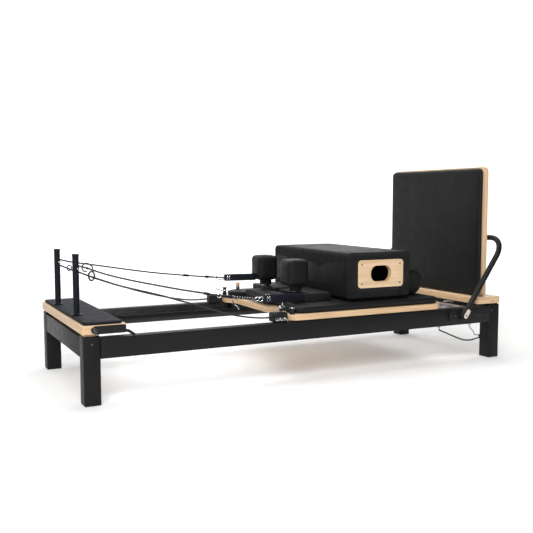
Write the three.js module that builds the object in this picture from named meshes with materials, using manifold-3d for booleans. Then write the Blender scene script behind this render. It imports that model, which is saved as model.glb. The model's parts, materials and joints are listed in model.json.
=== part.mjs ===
// Pilates reformer: a wheeled carriage on a long low frame, with springs, ropes,
// a footbar, a jump board and a sitting box. Millimetres, +Z up.
// X runs along the frame (head end at -X, foot end at +X), near side at -Y, far side at +Y.
// Drawn about the middle of the frame, then moved so that the origin is on the floor under the
// middle of the whole machine, which reaches further at the foot end.
import * as THREE from 'three';
import { mergeVertices } from 'three/addons/utils/BufferGeometryUtils.js';
import Module from 'manifold-3d';

const wasm = await Module();
wasm.setup();

// ---------- driving dimensions ----------
const GAP = 0.3; // clearance kept between touching pieces
const FOOT_REACH = 10.555; // how far the middle of the whole machine lies from the middle of the frame

const FRAME = { length: 2400, width: 908, railBottom: 208, railTop: 300 };
const LEG = { x: 76, y: 80, top: 308, wall: 4, foot: 7, corner: 8 };
const RAIL = { width: 54, wall: 3, chamfer: 28, inset: 1 };
const TRACK = { ledge: 30, thick: 4, bottom: 262, top: 297 };

const HEAD_DECK = { x0: -1206, x1: -1006, bottom: 319.3, thick: 38, corner: 14, pad: 14.7 };
const FOOT_DECK = { x0: 1030, x1: 1206, bottom: 314.3, thick: 37, corner: 14 };
const BATTEN = { inset: 12, width: 60 };
const BUMPER = { x0: -1153, x1: -1012, height: 36, depth: 15 };

const POST = { x: -1170, y: 205, radius: 15, wall: 2.5, top: 645, cap: 12, flange: 24 };
const ROLLER = { x: -1163, z: 589, groove: 9, rim: 10.2, width: 9, pin: 2.5 };

const CARRIAGE = { head: -178, foot: 797, half: 448, bottom: 304.3, thick: 30 };
const CUT = { depth: 38, horn: 96, blend: 90 }; // hollow in the head edge of the carriage
const PAD = { head: -150, foot: 789, half: 440, thick: 36.2, cut: 62, bevel: 9 };
const RUNNER = { x0: -130, x1: 745, inner: 348, outer: 371, height: 32 };
const WHEEL = { radius: 18, width: 14, x: [-65, 680], y: 385, axle: 4 };
const CROSSBAR = { x: 470, width: 40, height: 42 };
const SPRING_BAR = { x: 960, width: 40, bottom: 258, height: 40 };
const SPRING = { radius: 12, y: [-210, -70, 70, 210], z: 276, hook: 4 };

const LOCK = { x0: -258, x1: -178.3, inner: 374, outer: 434, bottom: 302.5, height: 44 };
const CLEAT = { x: -146, y: 418, radius: 13, height: 50 };
const BASE = { x0: -20, x1: 160, inner: 30, outer: 300, height: 44 };
const REST = { x0: -58, x1: 55, y: 176, width: 114, bottom: 455, top: 587, neck: 15, neckX: 6 };
const HEADREST = { x0: -150, x1: -24, half: 150, bottom: 376, thick: 28 };
const LOOP_NEAR = { x0: -245, x1: -21, y: -300, z: 402, height: 44, width: 30 };
const LOOP_FAR = { x0: -226, x1: -58.6, y: 176, z: 468, height: 44, width: 30 };

const BOX = { x0: 196, x1: 612, y0: -400, y1: 450, top: 632, wall: 16, round: 22 };
const PLATE = { width: 290, height: 148, thick: 6, z: 514, round: 20 };
const HAND_HOLE = { width: 130, height: 86, round: 38 };
const BOLSTER = { x: 689, radius: 73, y0: -300, y1: 260 };

const JUMP = { x: 1066, half: 425, bottom: 352, top: 1092, pad: 30, ply: 24, corner: 28 };
const JUMP_PIN = { y: 300, radius: 10, depth: 30 };

const FOOTBAR = { x: 915, z: 261, y: 478, radius: 15.5, wall: 2.5, lean: 55.06, arm: 398, bend: 120 };
const MOUNT = { x0: 826, x1: 950, height: 70, thick: 6.2, pin: 7 };

const ROPE_RADIUS = 3.5;
const TETHER = { eyes: [781, 998], eyeDrop: 8, thick: 4, thin: 2.2, cleatX: 1140, cleatZ: 112 };

const SIDES = [['near', -1], ['far', 1]];
const V = (x, y, z) => new THREE.Vector3(x, y, z);

// ---------- finishes ----------
const finish = (color, roughness, metalness = 0) => () =>
  new THREE.MeshStandardMaterial({ color, roughness, metalness });
const blackSteel = finish(0x1b1c1e, 0.45, 0.2);
const chrome = finish(0xc9cbce, 0.2, 1);
const aluminium = finish(0x9a9da1, 0.35, 1);
const plywood = finish(0xdcb98c, 0.55);
const vinyl = finish(0x1d1e20, 0.5);
const navyVinyl = finish(0x1a1d28, 0.5);
const navyPaint = finish(0x191d2a, 0.4, 0.2);
const plastic = finish(0x141416, 0.55);
const rope = finish(0x15161a, 0.8);
const palePlastic = finish(0xe0d6c4, 0.35, 0.3);

// ---------- solids ----------
// A geometry with only positions, and its shared corners merged.
function weld(geometry) {
  geometry.deleteAttribute('normal');
  geometry.deleteAttribute('uv');
  return mergeVertices(geometry, 1e-4);
}

// A welded geometry as a manifold solid; a solid stays as it is.
function solid(shape) {
  if (shape instanceof wasm.Manifold) return shape;
  return new wasm.Manifold(new wasm.Mesh({
    numProp: 3,
    vertProperties: new Float32Array(shape.attributes.position.array),
    triVerts: new Uint32Array(shape.index.array),
  }));
}

// A manifold solid back as a three.js geometry.
function geometryOf(body) {
  const { vertProperties, triVerts } = body.getMesh();
  const geometry = new THREE.BufferGeometry();
  geometry.setAttribute('position', new THREE.BufferAttribute(vertProperties, 3));
  geometry.setIndex(new THREE.BufferAttribute(triVerts, 1));
  geometry.computeVertexNormals();
  return geometry;
}

const join = (first, ...others) => others.reduce((body, other) => body.add(solid(other)), solid(first));
const cut = (first, ...others) => others.reduce((body, other) => body.subtract(solid(other)), solid(first));

// A box from its lowest to its highest corner.
function block(x0, x1, y0, y1, z0, z1) {
  const geometry = weld(new THREE.BoxGeometry(x1 - x0, y1 - y0, z1 - z0));
  return geometry.translate((x0 + x1) / 2, (y0 + y1) / 2, (z0 + z1) / 2);
}

// A cylinder between two points.
function rod(from, to, radius, sides = 12) {
  const span = to.clone().sub(from);
  const geometry = weld(new THREE.CylinderGeometry(radius, radius, span.length(), sides));
  const turn = new THREE.Quaternion().setFromUnitVectors(V(0, 1, 0), span.normalize());
  const middle = from.clone().add(to).multiplyScalar(0.5);
  return geometry.applyQuaternion(turn).translate(middle.x, middle.y, middle.z);
}

// A cylinder across the frame, along Y.
const crossRod = (x, z, y0, y1, radius, sides) => rod(V(x, y0, z), V(x, y1, z), radius, sides);

// A rectangle with round corners, between two opposite corners.
function roundRect(u0, u1, v0, v1, radius) {
  const shape = new THREE.Shape();
  shape.moveTo(u0 + radius, v0);
  shape.lineTo(u1 - radius, v0);
  shape.absarc(u1 - radius, v0 + radius, radius, -Math.PI / 2, 0);
  shape.lineTo(u1, v1 - radius);
  shape.absarc(u1 - radius, v1 - radius, radius, 0, Math.PI / 2);
  shape.lineTo(u0 + radius, v1);
  shape.absarc(u0 + radius, v1 - radius, radius, Math.PI / 2, Math.PI);
  shape.lineTo(u0, v0 + radius);
  shape.absarc(u0 + radius, v0 + radius, radius, Math.PI, Math.PI * 1.5);
  return shape;
}

// A shape pushed through a depth; with a bevel its faces stay at 0 and at depth.
function push(shape, depth, bevel, curveSegments) {
  return weld(new THREE.ExtrudeGeometry(shape, {
    depth: depth - 2 * bevel,
    bevelEnabled: bevel > 0,
    bevelThickness: bevel,
    bevelSize: bevel,
    bevelOffset: -bevel,
    bevelSegments: 1,
    curveSegments,
  })).translate(0, 0, bevel);
}

// An XY shape raised from z0 to z1.
const slab = (shape, z0, z1, bevel = 0, curveSegments = 2) =>
  push(shape, z1 - z0, bevel, curveSegments).translate(0, 0, z0);

// A YZ shape pushed from x0 to x1.
function alongX(shape, x0, x1, bevel = 0, curveSegments = 2) {
  const turn = new THREE.Matrix4().makeBasis(V(0, 1, 0), V(0, 0, 1), V(1, 0, 0));
  return push(shape, x1 - x0, bevel, curveSegments).applyMatrix4(turn).translate(x0, 0, 0);
}

// An XZ shape pushed from y0 to y1.
function alongY(shape, y0, y1, bevel = 0, curveSegments = 2) {
  const turn = new THREE.Matrix4().makeBasis(V(1, 0, 0), V(0, 0, 1), V(0, -1, 0));
  return push(shape, y1 - y0, bevel, curveSegments).applyMatrix4(turn).translate(0, y1, 0);
}

// A path that runs straight from each listed point to the next.
class Route extends THREE.Curve {
  constructor(points) {
    super();
    this.points = points;
  }

  getPoint(t) {
    const place = t * (this.points.length - 1);
    const i = Math.min(Math.floor(place), this.points.length - 2);
    return this.points[i].clone().lerp(this.points[i + 1], place - i);
  }

  getUtoTmapping(u) {
    return u;
  }
}

// Evenly spaced points along a smooth curve through a list of [x, y, z] places.
function spaced(places, steps) {
  const curve = new THREE.CatmullRomCurve3(places.map((p) => V(...p)), false, 'centripetal');
  return curve.getSpacedPoints(steps);
}

// A round tube with one ring of corners at each listed point.
function tube(points, radius, sides) {
  const section = new THREE.Shape();
  section.absarc(0, 0, radius, 0, Math.PI * 2);
  return weld(new THREE.ExtrudeGeometry(section, {
    extrudePath: new Route(points),
    steps: points.length - 1,
    bevelEnabled: false,
    curveSegments: sides / 2,
  }));
}

// A solid of revolution from [radius, height] points, with its axis along Y.
function turned(points, sides) {
  const profile = points.map(([radius, height]) => new THREE.Vector2(radius, height));
  return weld(new THREE.LatheGeometry(profile, sides));
}

// Two Y values on one side of the frame, lowest first.
const sideSpan = (side, inner, outer) => (side < 0 ? [-outer, -inner] : [inner, outer]);

// ---------- assembly ----------
const reformer = new THREE.Group();
reformer.position.x = -FOOT_REACH;
const frame = new THREE.Group();
const carriage = new THREE.Group();
reformer.add(frame, carriage);

function add(group, name, shape, makeMaterial) {
  const mesh = new THREE.Mesh(geometryOf(solid(shape)), makeMaterial());
  mesh.name = name;
  group.add(mesh);
}

// ---------- legs and rails ----------
const HALF_LENGTH = FRAME.length / 2;
const HALF_WIDTH = FRAME.width / 2;
const railOuter = HALF_WIDTH - RAIL.inset;
const railInner = railOuter - RAIL.width;

// A square tube leg: closed at the foot, where it tapers, and open at the top.
function leg(end, side) {
  const x0 = end < 0 ? -HALF_LENGTH : HALF_LENGTH - LEG.x;
  const [y0, y1] = sideSpan(side, HALF_WIDTH - LEG.y, HALF_WIDTH);
  const outer = slab(roundRect(x0, x0 + LEG.x, y0, y1, LEG.corner), LEG.foot, LEG.top, 0, 2);
  const foot = slab(roundRect(x0, x0 + LEG.x, y0, y1, LEG.corner), 0, LEG.foot * 2, LEG.foot, 2);
  const w = LEG.wall;
  const bore = block(x0 + w, x0 + LEG.x - w, y0 + w, y1 - w, LEG.foot * 2, LEG.top + 1);
  return { outer, foot, bore };
}

// The cleat on the inner face of the near foot leg, where both tether cords are tied.
function legCleat() {
  const face = -(HALF_WIDTH - LEG.y);
  const stem = crossRod(TETHER.cleatX, TETHER.cleatZ, face - 1, face + 10, 5, 8);
  const head = crossRod(TETHER.cleatX, TETHER.cleatZ, face + 10, face + 14, 9, 10);
  return [stem, head];
}

for (const [endName, end] of [['head', -1], ['foot', 1]]) {
  for (const [sideName, side] of SIDES) {
    const { outer, foot, bore } = leg(end, side);
    const extras = end > 0 && side < 0 ? legCleat() : [];
    const shell = cut(join(outer, foot), bore);
    add(frame, `leg_${endName}_${sideName}`, join(shell, ...extras), blackSteel);
  }
}

// Hollow rail section: square outside, chamfered under its inner edge.
function railSection(side) {
  const { wall, chamfer } = RAIL;
  const outline = (inner, outer, bottom, top, bevel) => {
    const corners = [
      [outer, bottom],
      [outer, top],
      [inner, top],
      [inner, bottom + bevel],
      [inner + bevel, bottom],
    ].map(([y, z]) => new THREE.Vector2(side * y, z));
    return side < 0 ? corners.reverse() : corners;
  };
  const shape = new THREE.Shape(outline(railInner, railOuter, FRAME.railBottom, FRAME.railTop, chamfer));
  shape.holes.push(new THREE.Path(outline(
    railInner + wall, railOuter - wall, FRAME.railBottom + wall, FRAME.railTop - wall, chamfer - 2)));
  return shape;
}

// A small ring screwed under the near rail for a tether cord.
function railEye(x) {
  const y = -(HALF_WIDTH - 26);
  const ring = weld(new THREE.TorusGeometry(7, 2, 6, 10)).rotateX(Math.PI / 2);
  const shank = rod(V(x, y, FRAME.railBottom - 5), V(x, y, FRAME.railBottom + 1), 2.5, 8);
  return join(ring.translate(x, y, FRAME.railBottom - TETHER.eyeDrop), shank);
}

const railEnd = HALF_LENGTH - LEG.x - GAP;
for (const [sideName, side] of SIDES) {
  const rail = alongX(railSection(side), -railEnd, railEnd);
  const eyes = side < 0 ? TETHER.eyes.map(railEye) : [];
  add(frame, `side_rail_${sideName}`, join(rail, ...eyes), blackSteel);
}

// Angle-shaped wheel track along the inner face of each rail.
for (const [sideName, side] of SIDES) {
  const face = railInner - GAP;
  const section = new THREE.Shape([
    [face, TRACK.top], [face, TRACK.bottom], [face - TRACK.ledge, TRACK.bottom],
    [face - TRACK.ledge, TRACK.bottom + TRACK.thick],
    [face - TRACK.thick, TRACK.bottom + TRACK.thick], [face - TRACK.thick, TRACK.top],
  ].map(([y, z]) => new THREE.Vector2(side * y, z)));
  add(frame, `wheel_track_${sideName}`, alongX(section, -1090, 955), aluminium);
}

// Cross members between the legs at each end.
for (const [endName, end] of [['head', -1], ['foot', 1]]) {
  const half = HALF_WIDTH - LEG.y - GAP;
  const x0 = end < 0 ? -HALF_LENGTH + 1 : HALF_LENGTH - 1 - RAIL.width;
  const outer = roundRect(x0, x0 + RAIL.width, FRAME.railBottom, FRAME.railTop, 3);
  const w = RAIL.wall;
  outer.holes.push(roundRect(
    x0 + w, x0 + RAIL.width - w, FRAME.railBottom + w, FRAME.railTop - w, 1));
  add(frame, `end_rail_${endName}`, alongY(outer, -half, half, 0, 2), blackSteel);
}

// ---------- head platform, posts and rope rollers ----------
// A plywood deck on two battens that stand on the legs.
function deck({ x0, x1, bottom, thick, corner }) {
  const board = slab(roundRect(x0, x1, -HALF_WIDTH, HALF_WIDTH, corner), bottom, bottom + thick);
  const end = x0 < 0 ? -1 : 1;
  const [bx0, bx1] = sideSpan(end, HALF_LENGTH - LEG.x + 4, HALF_LENGTH - 4);
  const battens = SIDES.map(([, side]) => {
    const outer = HALF_WIDTH - BATTEN.inset;
    const [y0, y1] = sideSpan(side, outer - BATTEN.width, outer);
    return block(bx0, bx1, y0, y1, LEG.top + GAP, bottom + 1);
  });
  return join(board, ...battens);
}

const headDeckTop = HEAD_DECK.bottom + HEAD_DECK.thick;
const headPadTop = headDeckTop + HEAD_DECK.pad;
add(frame, 'head_platform_board', deck(HEAD_DECK), plywood);
add(frame, 'head_platform_pad', slab(
  roundRect(HEAD_DECK.x0 + 6, HEAD_DECK.x1 - 8, -HALF_WIDTH + 8, HALF_WIDTH - 8, 16),
  headDeckTop + GAP, headPadTop, 4), navyVinyl);

// A hollow post with a slot for the rope and a pin for the roller.
function post(y) {
  const base = headPadTop + GAP;
  const flangeTop = base + 5;
  const profile = [
    [0, base], [POST.flange, base], [POST.flange, flangeTop], [POST.radius, flangeTop],
    [POST.radius, POST.top], [0, POST.top],
  ];
  const outer = turned(profile, 16).rotateX(Math.PI / 2).translate(POST.x, y, 0);
  const bore = rod(V(POST.x, y, flangeTop + 40), V(POST.x, y, POST.top + 1), POST.radius - POST.wall);
  const slot = block(POST.x, POST.x + 20, y - 7, y + 7, ROLLER.z - 30, ROLLER.z + 22);
  const pin = crossRod(ROLLER.x, ROLLER.z, y - 10.6, y + 10.6, ROLLER.pin, 8);
  return join(cut(outer, bore, slot), pin);
}

// A grooved roller that turns on the post's pin.
function roller(y) {
  const half = ROLLER.width / 2;
  const bore = ROLLER.pin + 0.4;
  const profile = [
    [bore, -half], [ROLLER.rim, -half], [ROLLER.rim, -half + 0.6], [ROLLER.groove, 0],
    [ROLLER.rim, half - 0.6], [ROLLER.rim, half], [bore, half], [bore, -half],
  ];
  return turned(profile, 14).translate(ROLLER.x, y, ROLLER.z);
}

for (const [sideName, side] of SIDES) {
  const y = side * POST.y;
  add(frame, `post_${sideName}`, post(y), navyPaint);
  const plug = rod(V(POST.x, y, POST.top - 16), V(POST.x, y, POST.top + GAP), 12);
  const lid = rod(V(POST.x, y, POST.top + GAP), V(POST.x, y, POST.top + POST.cap), 16, 16);
  add(frame, `post_cap_${sideName}`, join(plug, lid), plastic);
  add(frame, `rope_roller_${sideName}`, roller(y), aluminium);
}

// Long rubber bumper with a round end on each side of the head platform.
for (const [sideName, side] of SIDES) {
  const bottom = HEAD_DECK.bottom + 1;
  const [y0, y1] = sideSpan(side, HALF_WIDTH + GAP, HALF_WIDTH + GAP + BUMPER.depth);
  const bar = alongY(
    roundRect(BUMPER.x0, BUMPER.x1, bottom, bottom + BUMPER.height, 4), y0, y1, 2, 2);
  const knob = crossRod(BUMPER.x0, bottom + BUMPER.height / 2, y0 + 1, y1 - 1, 14);
  add(frame, `side_bumper_${sideName}`, join(bar, knob), plastic);
}

// ---------- foot end ----------
const footDeckTop = FOOT_DECK.bottom + FOOT_DECK.thick;
const sockets = [-1, 1].map((side) => rod(
  V(JUMP.x + JUMP.pad + JUMP.ply / 2, side * JUMP_PIN.y, footDeckTop - JUMP_PIN.depth - 2),
  V(JUMP.x + JUMP.pad + JUMP.ply / 2, side * JUMP_PIN.y, footDeckTop + 5), JUMP_PIN.radius + 0.5));
add(frame, 'foot_platform_board', cut(deck(FOOT_DECK), ...sockets), plywood);

const barHalf = railInner - GAP;
add(frame, 'spring_bar', block(
  SPRING_BAR.x, SPRING_BAR.x + SPRING_BAR.width, -barHalf, barHalf,
  SPRING_BAR.bottom, SPRING_BAR.bottom + SPRING_BAR.height), aluminium);

// ---------- footbar ----------
const footbar = new THREE.Group();
footbar.position.set(FOOTBAR.x, 0, FOOTBAR.z);
footbar.rotation.y = -THREE.MathUtils.degToRad(FOOTBAR.lean);
reformer.add(footbar);

// The centre line of the U, in the footbar's own frame: local +X runs up the arms, from a start.
function footbarPath(start) {
  const { y, arm, bend } = FOOTBAR;
  const corner = (side) => [0, 15, 30, 45, 60, 75, 90].map((degrees) => {
    const angle = THREE.MathUtils.degToRad(degrees);
    return V(arm + bend * Math.sin(angle), side * (y - bend * (1 - Math.cos(angle))), 0);
  });
  return [V(start, -y, 0), ...corner(-1), ...corner(1).reverse(), V(start, y, 0)];
}

function footbarTube() {
  const eyes = SIDES.map(([, side]) => crossRod(
    0, 0, side * FOOTBAR.y - FOOTBAR.radius, side * FOOTBAR.y + FOOTBAR.radius, 21, 16));
  const bores = SIDES.map(([, side]) => crossRod(
    0, 0, ...sideSpan(side, FOOTBAR.y - 30, FOOTBAR.y + 12), MOUNT.pin + 0.5));
  const inside = tube(footbarPath(5), FOOTBAR.radius - FOOTBAR.wall, 12);
  return cut(join(tube(footbarPath(0), FOOTBAR.radius, 12), ...eyes), ...bores, inside);
}
add(footbar, 'footbar_tube', footbarTube(), blackSteel);

for (const [sideName, side] of SIDES) {
  const outer = FOOTBAR.y + FOOTBAR.radius + GAP;
  const [y0, y1] = sideSpan(side, outer, outer + 3);
  const plate = alongY(roundRect(-14, 42, -13, 13, 12.5), y0, y1);
  add(footbar, `footbar_end_plate_${sideName}`, plate, palePlastic);
}

// Bearing plate and pivot pin on the outside of each rail.
for (const [sideName, side] of SIDES) {
  const inner = railOuter + GAP;
  const [y0, y1] = sideSpan(side, inner, inner + MOUNT.thick);
  const halfHeight = MOUNT.height / 2;
  const plate = alongY(roundRect(
    MOUNT.x0, MOUNT.x1, FOOTBAR.z - halfHeight, FOOTBAR.z + halfHeight, halfHeight - 1), y0, y1, 0, 4);
  const [p0, p1] = sideSpan(side, inner + 2, FOOTBAR.y + 10);
  const pin = crossRod(FOOTBAR.x, FOOTBAR.z, p0, p1, MOUNT.pin);
  add(frame, `footbar_mount_${sideName}`, join(plate, pin), plastic);
}

// ---------- jump board ----------
const jumpBoard = new THREE.Group();
reformer.add(jumpBoard);
const plyX = JUMP.x + JUMP.pad + GAP;
const jumpPly = alongX(
  roundRect(-JUMP.half, JUMP.half, JUMP.bottom, JUMP.top, JUMP.corner), plyX, plyX + JUMP.ply, 0, 3);
const jumpPins = [-1, 1].map((side) => rod(
  V(JUMP.x + JUMP.pad + JUMP.ply / 2, side * JUMP_PIN.y, footDeckTop - JUMP_PIN.depth),
  V(JUMP.x + JUMP.pad + JUMP.ply / 2, side * JUMP_PIN.y, JUMP.bottom + 20), JUMP_PIN.radius));
add(jumpBoard, 'jump_board_panel', join(jumpPly, ...jumpPins), plywood);
add(jumpBoard, 'jump_board_pad', alongX(
  roundRect(-JUMP.half + 2, JUMP.half - 2, JUMP.bottom + 2, JUMP.top - 2, JUMP.corner - 2),
  JUMP.x, JUMP.x + JUMP.pad, 8, 3), vinyl);

// ---------- carriage ----------
// Carriage outline: round corners, with a shallow hollow in the head edge.
function carriageOutline(head, foot, half, hornRadius, footRadius, cutDepth) {
  const shape = new THREE.Shape();
  const hornEdge = half - CUT.horn;
  const cutEdge = hornEdge - CUT.blend;
  const middle = head + cutDepth;
  shape.moveTo(head + hornRadius, -half);
  shape.lineTo(foot - footRadius, -half);
  shape.absarc(foot - footRadius, -half + footRadius, footRadius, -Math.PI / 2, 0);
  shape.lineTo(foot, half - footRadius);
  shape.absarc(foot - footRadius, half - footRadius, footRadius, 0, Math.PI / 2);
  shape.lineTo(head + hornRadius, half);
  shape.absarc(head + hornRadius, half - hornRadius, hornRadius, Math.PI / 2, Math.PI);
  shape.lineTo(head, hornEdge);
  shape.bezierCurveTo(head, hornEdge - 50, middle, cutEdge + 50, middle, cutEdge);
  shape.lineTo(middle, -cutEdge);
  shape.bezierCurveTo(middle, -cutEdge - 50, head, -hornEdge + 50, head, -hornEdge);
  shape.lineTo(head, -half + hornRadius);
  shape.absarc(head + hornRadius, -half + hornRadius, hornRadius, Math.PI, Math.PI * 1.5);
  return shape;
}

const boardTop = CARRIAGE.bottom + CARRIAGE.thick;
const padBottom = boardTop + GAP;
const padTop = padBottom + PAD.thick;
add(carriage, 'carriage_board', slab(
  carriageOutline(CARRIAGE.head, CARRIAGE.foot, CARRIAGE.half, 60, 62, CUT.depth),
  CARRIAGE.bottom, boardTop, 0, 3), plywood);
add(carriage, 'carriage_pad', slab(
  carriageOutline(PAD.head, PAD.foot, PAD.half, 80, 60, PAD.cut),
  padBottom, padTop, PAD.bevel, 3), vinyl);

// Welded frame under the board: two runners with the wheel axles, and a crossbar for the springs.
const underside = CARRIAGE.bottom - GAP;
const axleZ = TRACK.bottom + TRACK.thick + WHEEL.radius;
const crossbar = block(
  CROSSBAR.x, CROSSBAR.x + CROSSBAR.width, -RUNNER.inner - 5, RUNNER.inner + 5,
  underside - CROSSBAR.height, underside);
const runners = SIDES.map(([, side]) => block(
  RUNNER.x0, RUNNER.x1, ...sideSpan(side, RUNNER.inner, RUNNER.outer),
  underside - RUNNER.height, underside));
const axles = SIDES.flatMap(([, side]) => WHEEL.x.map((x) => crossRod(
  x, axleZ, ...sideSpan(side, RUNNER.outer - 2, WHEEL.y + WHEEL.width / 2 + 2), WHEEL.axle, 8)));
add(carriage, 'carriage_subframe', join(crossbar, ...runners, ...axles), blackSteel);

// Carriage wheels, each with a bore that clears its axle.
for (const [sideName, side] of SIDES) {
  const ends = [['head', WHEEL.x[0]], ['foot', WHEEL.x[1]]];
  for (const [endName, x] of ends) {
    const half = WHEEL.width / 2;
    const bore = WHEEL.axle + 0.4;
    const profile = [
      [bore, -half], [WHEEL.radius - 1.5, -half], [WHEEL.radius, -half + 1.5],
      [WHEEL.radius, half - 1.5], [WHEEL.radius - 1.5, half], [bore, half], [bore, -half],
    ];
    const wheel = turned(profile, 16).translate(x, side * WHEEL.y, axleZ);
    add(carriage, `wheel_${endName}_${sideName}`, wheel, plastic);
  }
}

// Rope locks in front of the carriage corners, with a passage for the rope end.
for (const [sideName, side] of SIDES) {
  const [y0, y1] = sideSpan(side, LOCK.inner, LOCK.outer);
  const body = slab(roundRect(LOCK.x0, LOCK.x1, y0, y1, 8), LOCK.bottom, LOCK.bottom + LOCK.height, 3);
  const y = side * 404;
  const passage = rod(V(LOCK.x0 - 5, y, 324), V(LOCK.x0 + 30, y, 324), 6);
  add(carriage, `rope_lock_${sideName}`, cut(body, passage), plastic);
}

// Cleats on the carriage corners, for the loops when they are not in use.
for (const [sideName, side] of SIDES) {
  const stem = [0, 18, 24, 44, CLEAT.height];
  const radii = [CLEAT.radius, CLEAT.radius, CLEAT.radius - 4, CLEAT.radius - 4, CLEAT.radius];
  const profile = [[0, 0], ...stem.map((z, i) => [radii[i], z]), [0, CLEAT.height]];
  const geometry = turned(profile, 12).rotateX(Math.PI / 2);
  add(carriage, `cleat_${sideName}`, geometry.translate(CLEAT.x, side * CLEAT.y, padBottom), plastic);
}

// ---------- shoulder rests ----------
const baseTop = padTop + GAP + BASE.height;
for (const [sideName, side] of SIDES) {
  const [y0, y1] = sideSpan(side, BASE.inner, BASE.outer);
  const body = slab(roundRect(BASE.x0, BASE.x1, y0, y1, 12), padTop + GAP, baseTop, 4);
  const y = side * REST.y;
  const socket = rod(V(REST.neckX, y, baseTop - 30), V(REST.neckX, y, baseTop + 5), REST.neck + 0.5);
  add(carriage, `shoulder_base_${sideName}`, cut(body, socket), vinyl);

  const restGroup = new THREE.Group();
  carriage.add(restGroup);
  const half = REST.width / 2;
  const cushion = slab(
    roundRect(REST.x0, REST.x1, y - half, y + half, 24), REST.bottom, REST.top, 12, 3);
  const neck = rod(V(REST.neckX, y, baseTop - 28), V(REST.neckX, y, REST.bottom + 8), REST.neck);
  add(restGroup, `shoulder_rest_${sideName}`, join(cushion, neck), vinyl);
}

// ---------- headrest ----------
add(carriage, 'headrest', slab(
  roundRect(HEADREST.x0, HEADREST.x1, -HEADREST.half, HEADREST.half, 20),
  HEADREST.bottom, HEADREST.bottom + HEADREST.thick, 7), vinyl);

// ---------- hand loops, stored on the shoulder rests ----------
for (const [sideName, at] of [['near', LOOP_NEAR], ['far', LOOP_FAR]]) {
  const strap = alongY(
    roundRect(at.x0, at.x1, at.z - at.height / 2, at.z + at.height / 2, 18),
    at.y - at.width / 2, at.y + at.width / 2, 6);
  add(carriage, `hand_loop_${sideName}`, strap, navyVinyl);
}

// ---------- sitting box ----------
const sittingBox = new THREE.Group();
carriage.add(sittingBox);
const boxBottom = padTop + GAP;
const boxMidX = (BOX.x0 + BOX.x1) / 2;

// The shape of a hand hole, grown by a margin.
const handHole = (margin) => roundRect(
  boxMidX - HAND_HOLE.width / 2 - margin, boxMidX + HAND_HOLE.width / 2 + margin,
  PLATE.z - HAND_HOLE.height / 2 - margin, PLATE.z + HAND_HOLE.height / 2 + margin,
  HAND_HOLE.round + margin);

function boxShell() {
  const outer = alongY(roundRect(BOX.x0, BOX.x1, boxBottom, BOX.top, BOX.round), BOX.y0, BOX.y1, 14);
  const inside = block(
    BOX.x0 + BOX.wall, BOX.x1 - BOX.wall, BOX.y0 + BOX.wall + PLATE.thick,
    BOX.y1 - BOX.wall - PLATE.thick, boxBottom + BOX.wall, BOX.top - BOX.wall);
  const tunnel = alongY(handHole(1), BOX.y0 - 5, BOX.y1 + 5, 0, 3);
  const recess = roundRect(
    boxMidX - PLATE.width / 2 - GAP, boxMidX + PLATE.width / 2 + GAP,
    PLATE.z - PLATE.height / 2 - GAP, PLATE.z + PLATE.height / 2 + GAP, PLATE.round);
  const depth = PLATE.thick - 1;
  const recesses = [
    alongY(recess, BOX.y0 - 5, BOX.y0 + depth, 0, 3),
    alongY(recess, BOX.y1 - depth, BOX.y1 + 5, 0, 3),
  ];
  return cut(outer, inside, tunnel, ...recesses);
}
add(sittingBox, 'sitting_box', boxShell(), vinyl);

for (const [sideName, side] of SIDES) {
  const shape = roundRect(
    boxMidX - PLATE.width / 2, boxMidX + PLATE.width / 2,
    PLATE.z - PLATE.height / 2, PLATE.z + PLATE.height / 2, PLATE.round);
  shape.holes.push(handHole(0));
  const y0 = side < 0 ? BOX.y0 - 1.3 : BOX.y1 - PLATE.thick + 1.3;
  add(sittingBox, `box_plate_${sideName}`, alongY(shape, y0, y0 + PLATE.thick, 0, 3), plywood);
}

// ---------- bolster ----------
const bolster = new THREE.Group();
carriage.add(bolster);
const bolsterZ = padTop + GAP + BOLSTER.radius;
const bolsterLength = BOLSTER.y1 - BOLSTER.y0;
const bolsterProfile = [
  [0, 0], [BOLSTER.radius - 12, 0], [BOLSTER.radius - 3, 5], [BOLSTER.radius, 14],
  [BOLSTER.radius, bolsterLength - 14], [BOLSTER.radius - 3, bolsterLength - 5],
  [BOLSTER.radius - 12, bolsterLength], [0, bolsterLength],
];
add(bolster, 'bolster', turned(bolsterProfile, 20)
  .translate(BOLSTER.x, BOLSTER.y0, bolsterZ), vinyl);

// ---------- springs ----------
const springFrom = CROSSBAR.x + CROSSBAR.width + GAP;
const springTo = SPRING_BAR.x - GAP;
SPRING.y.forEach((y, i) => {
  const coil = rod(V(springFrom + 24, y, SPRING.z), V(springTo - 24, y, SPRING.z), SPRING.radius);
  const hook = rod(V(springFrom, y, SPRING.z), V(springTo, y, SPRING.z), SPRING.hook, 8);
  add(frame, `spring_${i + 1}`, join(coil, hook), chrome);
});

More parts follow.
